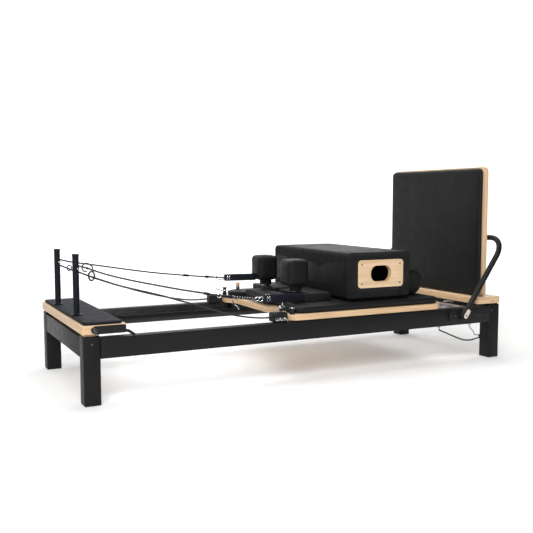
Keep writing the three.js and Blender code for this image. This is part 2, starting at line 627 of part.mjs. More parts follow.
// ---------- ropes ----------
// From the rope lock, up to the post, round its roller and back to the hand loop.
const ROPE_ROUTES = {
  near: {
    lower: [
      [-248, -404, 324], [-312, -400, 325], [-415, -377, 338], [-502, -356, 360],
      [-620, -329, 399], [-701, -310, 424], [-793, -289, 453], [-885, -268, 478],
      [-975, -247, 503], [-1090, -220, 543],
    ],
    upper: [
      [-1110, -211, 586], [-1038, -222, 559], [-920, -239, 526], [-782, -258, 494],
      [-686, -272, 473], [-588, -286, 454], [-488, -298, 434], [-390, -300, 418],
      [-300, -300, 407], [-248, -300, 402],
    ],
  },
  far: {
    lower: [
      [-248, 404, 324], [-312, 399, 323], [-374, 386, 326], [-448, 369, 337],
      [-560, 343, 362], [-680, 315, 395], [-800, 287, 434], [-900, 264, 470],
      [-1000, 241, 508], [-1090, 220, 543],
    ],
    upper: [
      [-1110, 205, 589], [-1040, 202, 577], [-926, 198, 558], [-800, 194, 536],
      [-660, 189, 514], [-515, 184, 496], [-400, 181, 483], [-322, 178, 476],
      [-283, 177, 472], [-229, 176, 468],
    ],
  },
};

// The half turn of the rope round its roller, from below to above.
function rollerTurn(y) {
  const reach = ROLLER.groove + ROPE_RADIUS + 1.2;
  return [-90, -60, -30, 0, 30, 60, 90].map((degrees) => {
    const angle = THREE.MathUtils.degToRad(degrees);
    return V(ROLLER.x - reach * Math.cos(angle), y, ROLLER.z + reach * Math.sin(angle));
  });
}

for (const [sideName, side] of SIDES) {
  const { lower, upper } = ROPE_ROUTES[sideName];
  const route = [...spaced(lower, 16), ...rollerTurn(side * POST.y), ...spaced(upper, 16)];
  add(frame, `rope_${sideName}`, tube(route, ROPE_RADIUS, 8), rope);
}

// ---------- tether cords under the foot end ----------
const TETHER_THICK = [
  [782, -428, 186], [789, -427, 181], [803, -426, 175], [830, -424, 165], [870, -421, 148],
  [910, -417, 132], [950, -411, 117], [990, -403, 106], [1030, -392, 100], [1065, -381, 98],
  [1090, -373, 98.5], [1106, -369.5, 100], [1122, -369, 101.6], [1140, -369, 102.4],
];
const TETHER_THIN = [
  [999, -428, 187], [1004, -427, 182], [1014, -424, 175], [1030, -418, 165], [1047, -409, 152],
  [1062, -399, 139], [1078, -386, 129], [1094, -375, 123], [1108, -370, 120.6],
  [1122, -369, 119.8], [1140, -369, 119.7],
];
add(frame, 'tether_thick', tube(spaced(TETHER_THICK, 24), TETHER.thick, 8), rope);
add(frame, 'tether_thin', tube(spaced(TETHER_THIN, 36), TETHER.thin, 8), rope);

export default reformer;
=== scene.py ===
import json
import math

import bmesh
import bpy
import numpy as np
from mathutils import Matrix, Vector
from mathutils.bvhtree import BVHTree
from mathutils.kdtree import KDTree

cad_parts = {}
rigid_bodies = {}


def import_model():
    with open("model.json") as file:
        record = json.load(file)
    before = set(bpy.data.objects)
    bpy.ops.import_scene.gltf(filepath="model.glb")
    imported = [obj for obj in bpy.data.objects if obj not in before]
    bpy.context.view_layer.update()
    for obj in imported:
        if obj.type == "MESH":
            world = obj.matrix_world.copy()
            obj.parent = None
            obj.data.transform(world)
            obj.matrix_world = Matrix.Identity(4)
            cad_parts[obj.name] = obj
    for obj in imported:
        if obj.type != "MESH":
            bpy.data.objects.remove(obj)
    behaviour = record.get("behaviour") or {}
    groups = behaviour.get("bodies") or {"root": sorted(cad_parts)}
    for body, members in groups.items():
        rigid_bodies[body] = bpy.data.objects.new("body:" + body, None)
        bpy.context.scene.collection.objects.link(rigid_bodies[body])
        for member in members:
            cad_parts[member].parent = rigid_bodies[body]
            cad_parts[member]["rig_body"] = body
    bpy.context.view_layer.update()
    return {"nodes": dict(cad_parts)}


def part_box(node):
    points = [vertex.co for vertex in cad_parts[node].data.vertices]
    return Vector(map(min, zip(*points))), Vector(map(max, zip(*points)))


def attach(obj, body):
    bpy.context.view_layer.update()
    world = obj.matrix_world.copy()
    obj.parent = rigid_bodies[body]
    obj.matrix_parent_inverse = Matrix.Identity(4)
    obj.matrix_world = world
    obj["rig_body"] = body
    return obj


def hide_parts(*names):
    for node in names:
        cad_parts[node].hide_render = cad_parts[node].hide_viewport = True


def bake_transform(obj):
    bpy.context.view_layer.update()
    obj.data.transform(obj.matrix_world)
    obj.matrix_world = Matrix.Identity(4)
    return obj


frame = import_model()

MM = 0.001
FOOT_REACH = 10.555  # the middle of the steel frame lies this far from the origin, towards the foot end
SIDES = (("near", -1), ("far", 1))


def at(x, y, z):
    """A place in millimetres as metres in the row frame."""
    return Vector((x - FOOT_REACH, y, z)) * MM


def extent(node):
    """A CAD node's lowest and highest corners, in millimetres."""
    return [corner / MM + Vector((FOOT_REACH, 0, 0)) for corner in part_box(node)]


def body_holding(node):
    """The body that a CAD node belongs to."""
    return frame["nodes"][node]["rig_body"]


# ---------- camera ----------
CAMERA = {"place": (-1958.6, -3693.0, 901.6), "yaw": 26.99, "down": 5.0, "lens": 50.97}


def make_camera():
    data = bpy.data.cameras.new("camera")
    data.lens = CAMERA["lens"]
    data.sensor_width = 36
    data.clip_end = 60
    camera = bpy.data.objects.new("camera", data)
    camera.location = at(*CAMERA["place"])
    camera.rotation_euler = (math.radians(90 - CAMERA["down"]), 0, -math.radians(CAMERA["yaw"]))
    bpy.context.scene.collection.objects.link(camera)
    bpy.context.scene.camera = camera


make_camera()


# ---------- materials ----------
class Graph:
    """One procedural material, with short calls to add and join its nodes."""

    def __init__(self, name, constants=None):
        self.material = bpy.data.materials.new(name)
        self.material.use_nodes = True
        self.tree = self.material.node_tree
        self.shader = self.tree.nodes["Principled BSDF"]
        coordinates = self.add("ShaderNodeTexCoord")
        self.place = coordinates.outputs["Object"]
        self.normal = coordinates.outputs["Normal"]
        self.uv = coordinates.outputs["UV"]
        for key, value in (constants or {}).items():
            self.shader.inputs[key].default_value = value

    def add(self, kind, inputs=None, **settings):
        node = self.tree.nodes.new(kind)
        for key, value in settings.items():
            setattr(node, key, value)
        for key, value in (inputs or {}).items():
            if isinstance(value, bpy.types.NodeSocket):
                self.tree.links.new(value, node.inputs[key])
            else:
                node.inputs[key].default_value = value
        return node

    def noise(self, scale, detail=3.0, stretch=(1, 1, 1)):
        placed = self.add("ShaderNodeMapping", {"Vector": self.place, "Scale": stretch})
        inputs = {"Vector": placed.outputs[0], "Scale": scale, "Detail": detail}
        return self.add("ShaderNodeTexNoise", inputs).outputs["Fac"]

    def cells(self, scale):
        inputs = {"Vector": self.place, "Scale": scale}
        return self.add("ShaderNodeTexVoronoi", inputs).outputs["Distance"]

    def math(self, operation, first, second=0.0):
        return self.add("ShaderNodeMath", {0: first, 1: second}, operation=operation).outputs[0]

    def split(self, vector):
        return self.add("ShaderNodeSeparateXYZ", {0: vector}).outputs

    def span(self, value, low, high, start=0.3, end=0.7):
        inputs = {"Value": value, "From Min": start, "From Max": end, "To Min": low, "To Max": high}
        return self.add("ShaderNodeMapRange", inputs).outputs[0]

    def ramp(self, value, *stops):
        node = self.add("ShaderNodeValToRGB", {"Fac": value})
        elements = node.color_ramp.elements
        while len(elements) < len(stops):
            elements.new(0.5)
        for element, (position, colour) in zip(elements, stops):
            element.position = position
            element.color = (*colour, 1)
        return node.outputs["Color"]

    def choose(self, share, first, second):
        node = self.add("ShaderNodeMix", data_type="RGBA")
        self.tree.links.new(share, node.inputs[0])
        self.tree.links.new(first, node.inputs[6])
        self.tree.links.new(second, node.inputs[7])
        return node.outputs[2]

    def paint(self, colour=None, roughness=None, height=None, strength=0.1, distance=0.0003):
        if colour:
            self.tree.links.new(colour, self.shader.inputs["Base Color"])
        if roughness:
            self.tree.links.new(roughness, self.shader.inputs["Roughness"])
        if height:
            bump = self.add("ShaderNodeBump", {"Height": height, "Strength": strength, "Distance": distance})
            self.tree.links.new(bump.outputs[0], self.shader.inputs["Normal"])
        return self.material


SOFT_SHINE = {"Specular IOR Level": 0.22}


def painted_metal(name, dark, light, smooth=0.44, rough=0.56):
    """Powder coat: a fine orange peel over slow changes of tone."""
    graph = Graph(name, SOFT_SHINE)
    colour = graph.ramp(graph.noise(5, 5), (0.3, dark), (0.7, light))
    roughness = graph.span(graph.noise(60, 4), smooth, rough)
    return graph.paint(colour, roughness, graph.noise(900, 2), 0.12, 0.0002)


def vinyl(name, dark, light, smooth=0.46, rough=0.6, grain=620):
    """Upholstery vinyl: fine pebbled grain, faint waves from the foam under it."""
    graph = Graph(name, SOFT_SHINE)
    colour = graph.ramp(graph.noise(7, 5), (0.3, dark), (0.7, light))
    roughness = graph.span(graph.noise(18, 6), smooth, rough)
    pebbles = graph.span(graph.cells(grain), 0.0, 1.0, 0.0, 0.6)
    waves = graph.math("MULTIPLY", graph.noise(14, 2), 3.0)
    return graph.paint(colour, roughness, graph.math("ADD", pebbles, waves), 0.22, 0.0005)


WOOD_EDGE = ((0.25, (0.50, 0.30, 0.145)), (0.45, (0.69, 0.46, 0.26)), (0.75, (0.80, 0.57, 0.345)))
WOOD_FACE = ((0.28, (0.60, 0.40, 0.225)), (0.5, (0.74, 0.53, 0.33)), (0.75, (0.80, 0.60, 0.39)))


def plywood(name, layers, grain, veneer=380):
    """Lacquered plywood: veneer layers on its edges and maple grain on its faces.
    layers is the axis through its thickness and grain the axis that its face grain follows."""
    graph = Graph(name, {"Coat Weight": 0.12, "Coat Roughness": 0.3})
    through = [6.0, 6.0, 6.0]
    through[layers] = veneer
    along = [38.0, 38.0, 38.0]
    along[grain] = 2.2
    edge = graph.ramp(graph.noise(1, 3, through), *WOOD_EDGE)
    fibres = graph.noise(1, 6, along)
    face = graph.ramp(fibres, *WOOD_FACE)
    facing = graph.math("ABSOLUTE", graph.split(graph.normal)[layers])
    share = graph.math("GREATER_THAN", facing, 0.7)
    fine = [900.0, 900.0, 900.0]
    fine[grain] = 25.0
    height = graph.noise(1, 3, fine)
    return graph.paint(graph.choose(share, edge, face), graph.span(fibres, 0.42, 0.55), height, 0.12)


def metal(name, dark, light, smooth, rough, stretch=(1, 1, 1)):
    """Bare or plated metal with faint smudges, brushed where stretch is uneven."""
    graph = Graph(name, {"Metallic": 1.0})
    marks = graph.noise(120, 4, stretch)
    colour = graph.ramp(graph.noise(30, 3), (0.3, dark), (0.7, light))
    return graph.paint(colour, graph.span(marks, smooth, rough), marks, 0.05, 0.0001)


def moulded(name, dark, light, smooth=0.42, rough=0.58):
    """Moulded plastic with a fine spark-eroded texture."""
    graph = Graph(name, SOFT_SHINE)
    colour = graph.ramp(graph.noise(9, 4), (0.3, dark), (0.7, light))
    roughness = graph.span(graph.noise(50, 3), smooth, rough)
    return graph.paint(colour, roughness, graph.noise(1500, 2), 0.15, 0.0002)


def braid(name, dark, light, around, pitch):
    """Braided cord. The UVs run round the cord from 0 to 1 and along it in metres."""
    graph = Graph(name)
    u, v = graph.split(graph.uv)[0], graph.split(graph.uv)[1]
    turn = graph.math("MULTIPLY", u, around)
    step = graph.math("DIVIDE", v, pitch)
    strands = []
    for operation in ("ADD", "SUBTRACT"):
        phase = graph.math("MULTIPLY", graph.math(operation, turn, step), 2 * math.pi)
        strands.append(graph.math("SINE", phase))
    height = graph.math("MAXIMUM", *strands)
    # The colour follows the strand height: darker in the grooves between the strands, which is painted
    # shade.
    colour = graph.ramp(graph.span(height, 0, 1, -0.6, 1), (0.1, dark), (0.9, light))
    return graph.paint(colour, graph.span(graph.noise(300, 2), 0.55, 0.8), height, 0.5, 0.0006)


def webbing(name, dark, light, thread=0.0022):
    """Woven strap. The UVs run across and along it in metres."""
    graph = Graph(name, {"Specular IOR Level": 0.25})
    u, v = graph.split(graph.uv)[0], graph.split(graph.uv)[1]
    waves = []
    for value, offset in ((u, 0.0), (v, math.pi / 2)):
        phase = graph.math("MULTIPLY", value, 2 * math.pi / thread)
        waves.append(graph.math("SINE", graph.math("ADD", phase, offset)))
    height = graph.math("MULTIPLY", *waves)
    # The colour follows the weave height: darker where the threads dip under, which is painted shade.
    colour = graph.ramp(graph.span(height, 0, 1, -1, 1), (0.1, dark), (0.9, light))
    return graph.paint(colour, graph.span(graph.noise(200, 3), 0.45, 0.65), height, 0.3, 0.0004)


BLACK_STEEL = painted_metal("black_powder_coat", (0.0055, 0.0058, 0.0065), (0.0085, 0.0088, 0.0095))
NAVY_STEEL = painted_metal("navy_paint", (0.0035, 0.0045, 0.0085), (0.006, 0.0075, 0.014), 0.36, 0.48)
BLACK_VINYL = vinyl("black_vinyl", (0.0055, 0.0058, 0.0063), (0.0085, 0.0088, 0.0096))
NAVY_VINYL = vinyl("navy_vinyl", (0.006, 0.0075, 0.0135), (0.0095, 0.0115, 0.020), 0.68, 0.8, 800)
SEAM_VINYL = vinyl("seam_vinyl", (0.014, 0.0145, 0.0155), (0.020, 0.0205, 0.022), 0.35, 0.5, 900)
BOX_LINING = moulded("box_lining", (0.006, 0.006, 0.0065), (0.011, 0.011, 0.012), 0.7, 0.9)
DECK_WOOD = plywood("deck_plywood", 2, 1)
BOARD_WOOD = plywood("carriage_plywood", 2, 0)
PANEL_WOOD = plywood("panel_plywood", 0, 2)
PLATE_WOOD = plywood("plate_plywood", 1, 0, 700)
CHROME = metal("chrome", (0.62, 0.63, 0.65), (0.80, 0.81, 0.83), 0.10, 0.22)
SPRING_STEEL = metal("spring_steel", (0.48, 0.49, 0.50), (0.66, 0.67, 0.68), 0.2, 0.34)
BRASS = metal("brass", (0.62, 0.42, 0.16), (0.78, 0.56, 0.25), 0.18, 0.34)
ALUMINIUM = metal("brushed_aluminium", (0.42, 0.43, 0.45), (0.58, 0.59, 0.61), 0.25, 0.42, (0.05, 1, 1))
# A darkened copy of the brushed aluminium: painted shade for the wheel tracks, which sit in shade under the
# carriage.
SHADED_TRACK_ALUMINIUM = metal("track_aluminium_painted_shade", (0.035, 0.036, 0.038), (0.06, 0.061, 0.064), 0.4, 0.55, (0.05, 1, 1))
DARK_BOLT = metal("blackened_bolt", (0.10, 0.10, 0.105), (0.17, 0.17, 0.175), 0.3, 0.45)
BLACK_PLASTIC = moulded("black_plastic", (0.0085, 0.0085, 0.009), (0.0135, 0.0135, 0.0145))
PALE_PLASTIC = moulded("pale_plastic", (0.66, 0.60, 0.50), (0.78, 0.72, 0.62), 0.25, 0.38)
TYRE = moulded("wheel_tyre", (0.018, 0.018, 0.019), (0.03, 0.03, 0.031), 0.6, 0.8)
ROPE = braid("black_rope", (0.004, 0.004, 0.005), (0.020, 0.021, 0.025), 6, 0.009)
TWIST = braid("twisted_cord", (0.003, 0.003, 0.0035), (0.017, 0.017, 0.019), 3, 0.016)
STRAP = webbing("navy_webbing", (0.004, 0.005, 0.009), (0.012, 0.0145, 0.024))


# ---------- shapes, in millimetres ----------
def lengths_along(points):
    """The distance from the first point to each point of a path."""
    found = [0.0]
    for a, b in zip(points, points[1:]):
        found.append(found[-1] + (b - a).length)
    return found


def smooth_path(places, count):
    """Evenly spaced points on a centripetal Catmull-Rom curve through given points."""
    points = [Vector(p) for p in places]
    points = [2 * points[0] - points[1], *points, 2 * points[-1] - points[-2]]
    fine = []
    for a, b, c, d in zip(points, points[1:], points[2:], points[3:]):
        knots = [0.0]
        for p, q in ((a, b), (b, c), (c, d)):
            knots.append(knots[-1] + max((q - p).length, 1e-6) ** 0.5)
        for i in range(24):
            t = knots[1] + (knots[2] - knots[1]) * i / 24
            level = [a, b, c, d]
            for width in (1, 2, 3):
                level = [
                    level[k].lerp(level[k + 1], (t - knots[first]) / (knots[first + span] - knots[first]))
                    for k, first, span in blending(width)
                ]
            fine.append(level[0])
    fine.append(points[-2].copy())
    return spread(fine, count)


def blending(width):
    """Which knots each stage of the Catmull-Rom pyramid blends between: (index, first knot, span)."""
    if width == 1:
        return [(0, 0, 1), (1, 1, 1), (2, 2, 1)]
    if width == 2:
        return [(0, 0, 2), (1, 1, 2)]
    return [(0, 1, 1)]


def spread(points, count):
    """The path's points moved along it to count equal steps."""
    lengths = lengths_along(points)
    found, k = [], 0
    for i in range(count + 1):
        goal = lengths[-1] * i / count
        while k < len(points) - 2 and lengths[k + 1] < goal:
            k += 1
        share = (goal - lengths[k]) / max(lengths[k + 1] - lengths[k], 1e-9)
        found.append(points[k].lerp(points[k + 1], min(share, 1.0)))
    return found


def circle(radius, sides=16):
    """A round section as (sideways, up) pairs."""
    steps = [2 * math.pi * i / sides for i in range(sides)]
    return [(radius * math.cos(a), radius * math.sin(a)) for a in steps]


def oblong(width, height, radius, steps=4):
    """A section with round corners as (sideways, up) pairs."""
    found = []
    for quarter, (sx, sy) in enumerate(((1, 1), (-1, 1), (-1, -1), (1, -1))):
        for i in range(steps + 1):
            a = math.pi / 2 * (quarter + i / steps)
            x = sx * (width / 2 - radius) + radius * math.cos(a)
            y = sy * (height / 2 - radius) + radius * math.sin(a)
            found.append((x, y))
    return found


def swept(points, section, closed=False, up=(0, 0, 1)):
    """A section carried along a path without twisting: vertices, faces and UVs."""
    points = [Vector(p) for p in points]
    count, sides = len(points), len(section)
    side = None
    verts = []
    for i, point in enumerate(points):
        before = points[i - 1] if i or closed else point
        after = points[(i + 1) % count] if i < count - 1 or closed else point
        forward = (after - before).normalized()
        if side is None:
            side = forward.cross(Vector(up)).normalized()
        side = (side - forward * side.dot(forward)).normalized()
        lift = side.cross(forward)
        verts += [point + side * x + lift * y for x, y in section]
    lengths = lengths_along([*points, points[0]] if closed else points)
    around = lengths_along([Vector((*s, 0)) for s in [*section, section[0]]])
    faces, uvs = [], []
    for i in range(count if closed else count - 1):
        j = (i + 1) % count
        for k in range(sides):
            m = (k + 1) % sides
            faces.append((i * sides + k, j * sides + k, j * sides + m, i * sides + m))
            uvs.append([
                (around[k], lengths[i]), (around[k], lengths[i + 1]),
                (around[k + 1], lengths[i + 1]), (around[k + 1], lengths[i]),
            ])
    if not closed:
        for ring in (tuple(range(sides)), tuple(range((count - 1) * sides, count * sides))[::-1]):
            faces.append(ring)
            uvs.append([(0, 0)] * sides)
    return verts, faces, uvs


def cord_shape(points, radius, sides=12):
    """A round cord whose UVs run round it from 0 to 1 and along it in metres."""
    verts, faces, uvs = swept(points, circle(radius, sides))
    girth = 2 * math.pi * radius
    return verts, faces, [[(u / girth, v * MM) for u, v in face] for face in uvs]


def turned(profile, origin, axis=(0, 0, 1), sides=32):
    """A solid of revolution from (radius, height) pairs. They end on the axis, or close on themselves."""
    turn = Vector((0, 0, 1)).rotation_difference(Vector(axis).normalized()).to_matrix()
    origin = Vector(origin)
    rows, verts = [], []
    for radius, height in profile:
        if radius < 1e-6:
            rows.append([len(verts)] * sides)
            verts.append(turn @ Vector((0, 0, height)) + origin)
            continue
        rows.append(list(range(len(verts), len(verts) + sides)))
        for i in range(sides):
            a = 2 * math.pi * i / sides
            verts.append(turn @ Vector((radius * math.cos(a), radius * math.sin(a), height)) + origin)
    faces = []
    for low, high in zip(rows, rows[1:]):
        for i in range(sides):
            j = (i + 1) % sides
            corners = list(dict.fromkeys((low[i], low[j], high[j], high[i])))
            if len(corners) > 2:
                faces.append(tuple(corners))
    return verts, faces, None


def drum(origin, axis, radius, length, edge=1.0, sides=32):
    """A closed cylinder with softened edges, from its origin along its axis."""
    corner = edge * 0.3
    profile = [
        (0, 0), (radius - edge, 0), (radius - corner, corner), (radius, edge),
        (radius, length - edge), (radius - corner, length - corner), (radius - edge, length), (0, length),
    ]
    return turned(profile, origin, axis, sides)


def dome_screw(origin, axis, radius):
    """A button head screw with a round socket."""
    height = radius * 0.55
    shares = [(0, 0.35), (0.38, 0.35), (0.42, 1), (0.6, 0.97), (0.85, 0.7), (1, 0.25)]
    profile = [(radius * across, height * up) for across, up in shares]
    return turned([*profile, (radius, -1), (0, -1)], origin, axis, 20)


def hoop(centre, axis, radius, wire, squash=1.0, sides=32, start=None):
    """A wire ring about an axis. squash shortens it along start."""
    axis = Vector(axis).normalized()
    first = Vector(start) if start else axis.orthogonal()
    first = (first - axis * first.dot(axis)).normalized()
    second = axis.cross(first)
    points = []
    for i in range(sides):
        a = 2 * math.pi * i / sides
        points.append(Vector(centre) + first * radius * squash * math.cos(a) + second * radius * math.sin(a))
    return swept(points, circle(wire, 10), closed=True, up=axis)


def wire_along(places, count, radius):
    """A round wire on a smooth path through given points."""
    return swept(smooth_path(places, count), circle(radius, 10))


def block(low, high, radius=2.0, steps=3):
    """A box with rounded edges between two corners."""
    bm = bmesh.new()
    bmesh.ops.create_cube(bm, size=1)
    low, high = Vector(low), Vector(high)
    size = high - low
    for v in bm.verts:
        v.co = Vector([v.co[i] * size[i] for i in range(3)]) + (low + high) / 2
    bmesh.ops.bevel(
        bm, geom=[*bm.verts, *bm.edges], offset=radius, segments=steps, profile=0.5,
        affect="EDGES", clamp_overlap=True)
    verts = [v.co.copy() for v in bm.verts]
    faces = [tuple(v.index for v in f.verts) for f in bm.faces]
    bm.free()
    return verts, faces, None


class Kit:
    """Small shapes gathered into one mesh."""

    def __init__(self, *shapes):
        self.verts, self.faces, self.uvs = [], [], []
        for verts, faces, uvs in shapes:
            base = len(self.verts)
            self.verts += verts
            for i, face in enumerate(faces):
                self.faces.append([base + v for v in face])
                self.uvs.append(uvs[i] if uvs else [(0, 0)] * len(face))

    def mesh(self, name):
        mesh = bpy.data.meshes.new(name)
        mesh.from_pydata([at(*v) for v in self.verts], [], self.faces)
        layer = mesh.uv_layers.new(name="UVMap")
        flat = [value for face in self.uvs for uv in face for value in uv]
        layer.data.foreach_set("uv", flat)
        outwards(mesh)
        return mesh


def outwards(mesh):
    """Turns every face of a mesh to look out."""
    bm = bmesh.new()
    bm.from_mesh(mesh)
    bmesh.ops.recalc_face_normals(bm, faces=bm.faces)
    bm.to_mesh(mesh)
    bm.free()


def finished(name, mesh, material, body=None, stands_for=(), crease=35):
    """An object for a mesh, with its material and the CAD nodes that it stands for."""
    piece = bpy.data.objects.new(name, mesh)
    bpy.context.scene.collection.objects.link(piece)
    mesh.materials.clear()
    mesh.materials.append(material)
    mesh.shade_smooth()
    mesh.set_sharp_from_angle(angle=math.radians(crease))
    if body:
        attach(piece, body)
    if stands_for:
        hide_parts(*stands_for)
    return piece


def made(name, shapes, material, body=None, stands_for=(), crease=35):
    """One piece from several shapes."""
    return finished(name, Kit(*shapes).mesh(name), material, body, stands_for, crease)


def dark_screws(name, screws, body="frame"):
    """One piece from several dark screws."""
    return made(name, screws, DARK_BOLT, body)


# ---------- cords ----------
TETHER_THICK = [
    (782, -428, 186), (789, -427, 181), (803, -426, 175), (830, -424, 165), (870, -421, 148),
    (910, -417, 132), (950, -411, 117), (990, -403, 106), (1030, -392, 100), (1065, -381, 98),
    (1090, -373, 98.5), (1106, -369.5, 100), (1122, -369, 101.6), (1140, -369, 102.4),
]
TETHER_THIN = [
    (999, -428, 187), (1004, -427, 182), (1014, -424, 175), (1030, -418, 165), (1047, -409, 152),
    (1062, -399, 139), (1078, -386, 129), (1094, -375, 123), (1108, -370, 120.6),
    (1122, -369, 119.8), (1140, -369, 119.7),
]


def tether(node, places, steps, radius):
    path = smooth_path(places, steps)
    cord = made(f"{node}_cord", [cord_shape(path, radius)], TWIST, "frame", (node,))


tether("tether_thick", TETHER_THICK, 48, 4)
tether("tether_thin", TETHER_THIN, 48, 2.2)

ROLLER = {"x": -1163, "z": 589, "y": 205, "groove": 9}
ROPE_RADIUS = 4.0
ROPE_LOWER = {
    "near": [
        (-248, -404, 324), (-312, -400, 325), (-415, -377, 338), (-502, -356, 360), (-620, -329, 399),
        (-701, -310, 424), (-793, -289, 453), (-885, -268, 478), (-975, -247, 503), (-1090, -220, 543),
    ],
    "far": [
        (-248, 404, 324), (-312, 399, 323), (-374, 386, 326), (-448, 369, 337), (-560, 343, 362),
        (-680, 315, 395), (-800, 287, 434), (-900, 264, 470), (-1000, 241, 508), (-1090, 220, 543),
    ],
}
ROPE_UPPER = {
    "near": [
        (-1110, -211, 586), (-1038, -222, 559), (-920, -239, 526), (-782, -258, 494), (-686, -272, 473),
        (-588, -286, 454), (-488, -298, 434), (-390, -300, 418), (-300, -300, 407), (-248, -300, 402),
    ],
    "far": [
        (-1110, 205, 589), (-1040, 202, 577), (-926, 198, 558), (-800, 194, 536), (-660, 189, 514),
        (-515, 184, 496), (-400, 181, 483), (-322, 178, 476), (-283, 177, 472), (-229, 176, 468),
    ],
}


def rope_turn(y):
    """The half turn of a rope round its roller, from below to above."""
    reach = ROLLER["groove"] + ROPE_RADIUS + 1.2
    angles = [math.radians(a) for a in range(-90, 91, 15)]
    return [
        Vector((ROLLER["x"] - reach * math.cos(a), y, ROLLER["z"] + reach * math.sin(a))) for a in angles]


def on_rope(piece):
    """Bakes the placement of a rope, or of a fitting on it, into its mesh."""
    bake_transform(piece)


def rope(name, side):
    lower = smooth_path(ROPE_LOWER[name], 60)
    upper = smooth_path(ROPE_UPPER[name], 60)
    path = [*lower, *rope_turn(side * ROLLER["y"]), *upper]
    piece = made(f"rope_{name}_braid", [cord_shape(path, ROPE_RADIUS)], ROPE)
    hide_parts(f"rope_{name}")
    on_rope(piece)


for side_name, side_sign in SIDES:
    rope(side_name, side_sign)


# ---------- steelwork and boards ----------
def welded_copy(node):
    """A CAD node's mesh with its shared corners merged and its flat faces made whole."""
    bm = bmesh.new()
    bm.from_mesh(frame["nodes"][node].data)
    bmesh.ops.remove_doubles(bm, verts=bm.verts, dist=1e-5)
    bmesh.ops.dissolve_limit(bm, angle_limit=math.radians(1), verts=bm.verts, edges=bm.edges)
    mesh = bpy.data.meshes.new(node + "_shape")
    bm.to_mesh(mesh)
    bm.free()
    return mesh


def baked(piece):
    """The piece's mesh with its modifiers applied."""
    evaluated = piece.evaluated_get(bpy.context.evaluated_depsgraph_get())
    return bpy.data.meshes.new_from_object(evaluated)


def with_modifiers(mesh, *modifiers):
    """The mesh with modifiers applied, each given as its kind and settings."""
    piece = bpy.data.objects.new("temporary", mesh)
    bpy.context.scene.collection.objects.link(piece)
    for kind, settings in modifiers:
        modifier = piece.modifiers.new(kind.lower(), kind)
        for key, value in settings.items():
            setattr(modifier, key, value)
    result = baked(piece)
    bpy.data.objects.remove(piece)
    return result


def rounding(radius, segments, degrees):
    """A bevel of the edges that are sharper than an angle."""
    return "BEVEL", {
        "width": radius * MM, "segments": segments,
        "limit_method": "ANGLE", "angle_limit": math.radians(degrees)}


def softened(node, radius, material, suffix="finish", steps=2):
    """A copy of a CAD node with rounded edges, which then stands for it."""
    mesh = with_modifiers(welded_copy(node), rounding(radius, steps, 40))
    return finished(f"{node}_{suffix}", mesh, material, body_holding(node), (node,))


for end_name in ("head", "foot"):
    for side_name, _ in SIDES:
        softened(f"leg_{end_name}_{side_name}", 1.2, BLACK_STEEL)
    softened(f"end_rail_{end_name}", 1.5, BLACK_STEEL)
for side_name, _ in SIDES:
    softened(f"side_rail_{side_name}", 1.5, BLACK_STEEL)
    # The wheel tracks take the darkened aluminium, which is painted shade.
    softened(f"wheel_track_{side_name}", 0.8, SHADED_TRACK_ALUMINIUM)
    softened(f"rope_lock_{side_name}", 1.5, BLACK_PLASTIC)
    softened(f"box_plate_{side_name}", 1.4, PLATE_WOOD, steps=3)
softened("carriage_subframe", 1.2, BLACK_STEEL)
softened("spring_bar", 1.5, ALUMINIUM)
softened("head_platform_board", 2.5, DECK_WOOD, steps=3)
softened("foot_platform_board", 2.5, DECK_WOOD, steps=3)
softened("jump_board_panel", 2.0, PANEL_WOOD, steps=3)


# ---------- padded pieces ----------
def carved(mesh, *tools):
    """The mesh with other closed shapes cut out of it."""
    for tool in tools:
        cutter = bpy.data.objects.new("cutter", Kit(tool).mesh("cutter"))
        bpy.context.scene.collection.objects.link(cutter)
        settings = {"object": cutter, "operation": "DIFFERENCE", "solver": "EXACT"}
        mesh = with_modifiers(mesh, ("BOOLEAN", settings))
        bpy.data.objects.remove(cutter)
    return mesh


def squeezed(mesh, inset):
    """Moves every side of a mesh in by some millimetres."""
    low = Vector([min(v.co[i] for v in mesh.vertices) for i in range(3)])
    high = Vector([max(v.co[i] for v in mesh.vertices) for i in range(3)])
    middle = (low + high) / 2
    shares = [1 - 2 * inset * MM / size for size in high - low]
    for v in mesh.vertices:
        v.co = Vector([middle[i] + (v.co[i] - middle[i]) * shares[i] for i in range(3)])
    return mesh


def swollen(mesh, cap, pressure=4.0, frames=20):
    """The mesh after its filling has pushed the cover out, by no more than cap in millimetres."""
    piece = bpy.data.objects.new("filling", mesh.copy())
    bpy.context.scene.collection.objects.link(piece)
    cloth = piece.modifiers.new("cloth", "CLOTH")
    cloth.settings.use_pressure = True
    cloth.settings.uniform_pressure_force = pressure
    cloth.settings.effector_weights.gravity = 0
    cloth.point_cache.frame_start = 1
    cloth.point_cache.frame_end = frames
    for number in range(1, frames + 1):
        bpy.context.scene.frame_set(number)
    result = baked(piece)
    bpy.data.objects.remove(piece)
    bpy.context.scene.frame_set(1)
    before, after = places_of(mesh), places_of(result)
    moves = after - before
    lengths = np.linalg.norm(moves, axis=1, keepdims=True)
    moves *= np.minimum(1.0, cap * MM / np.maximum(lengths, 1e-9))
    result.vertices.foreach_set("co", (before + evened(mesh, moves)).ravel())
    result.update()
    return result


def places_of(mesh):
    """A mesh's vertices as rows of x, y and z."""
    flat = np.empty(len(mesh.vertices) * 3)
    mesh.vertices.foreach_get("co", flat)
    return flat.reshape(-1, 3)


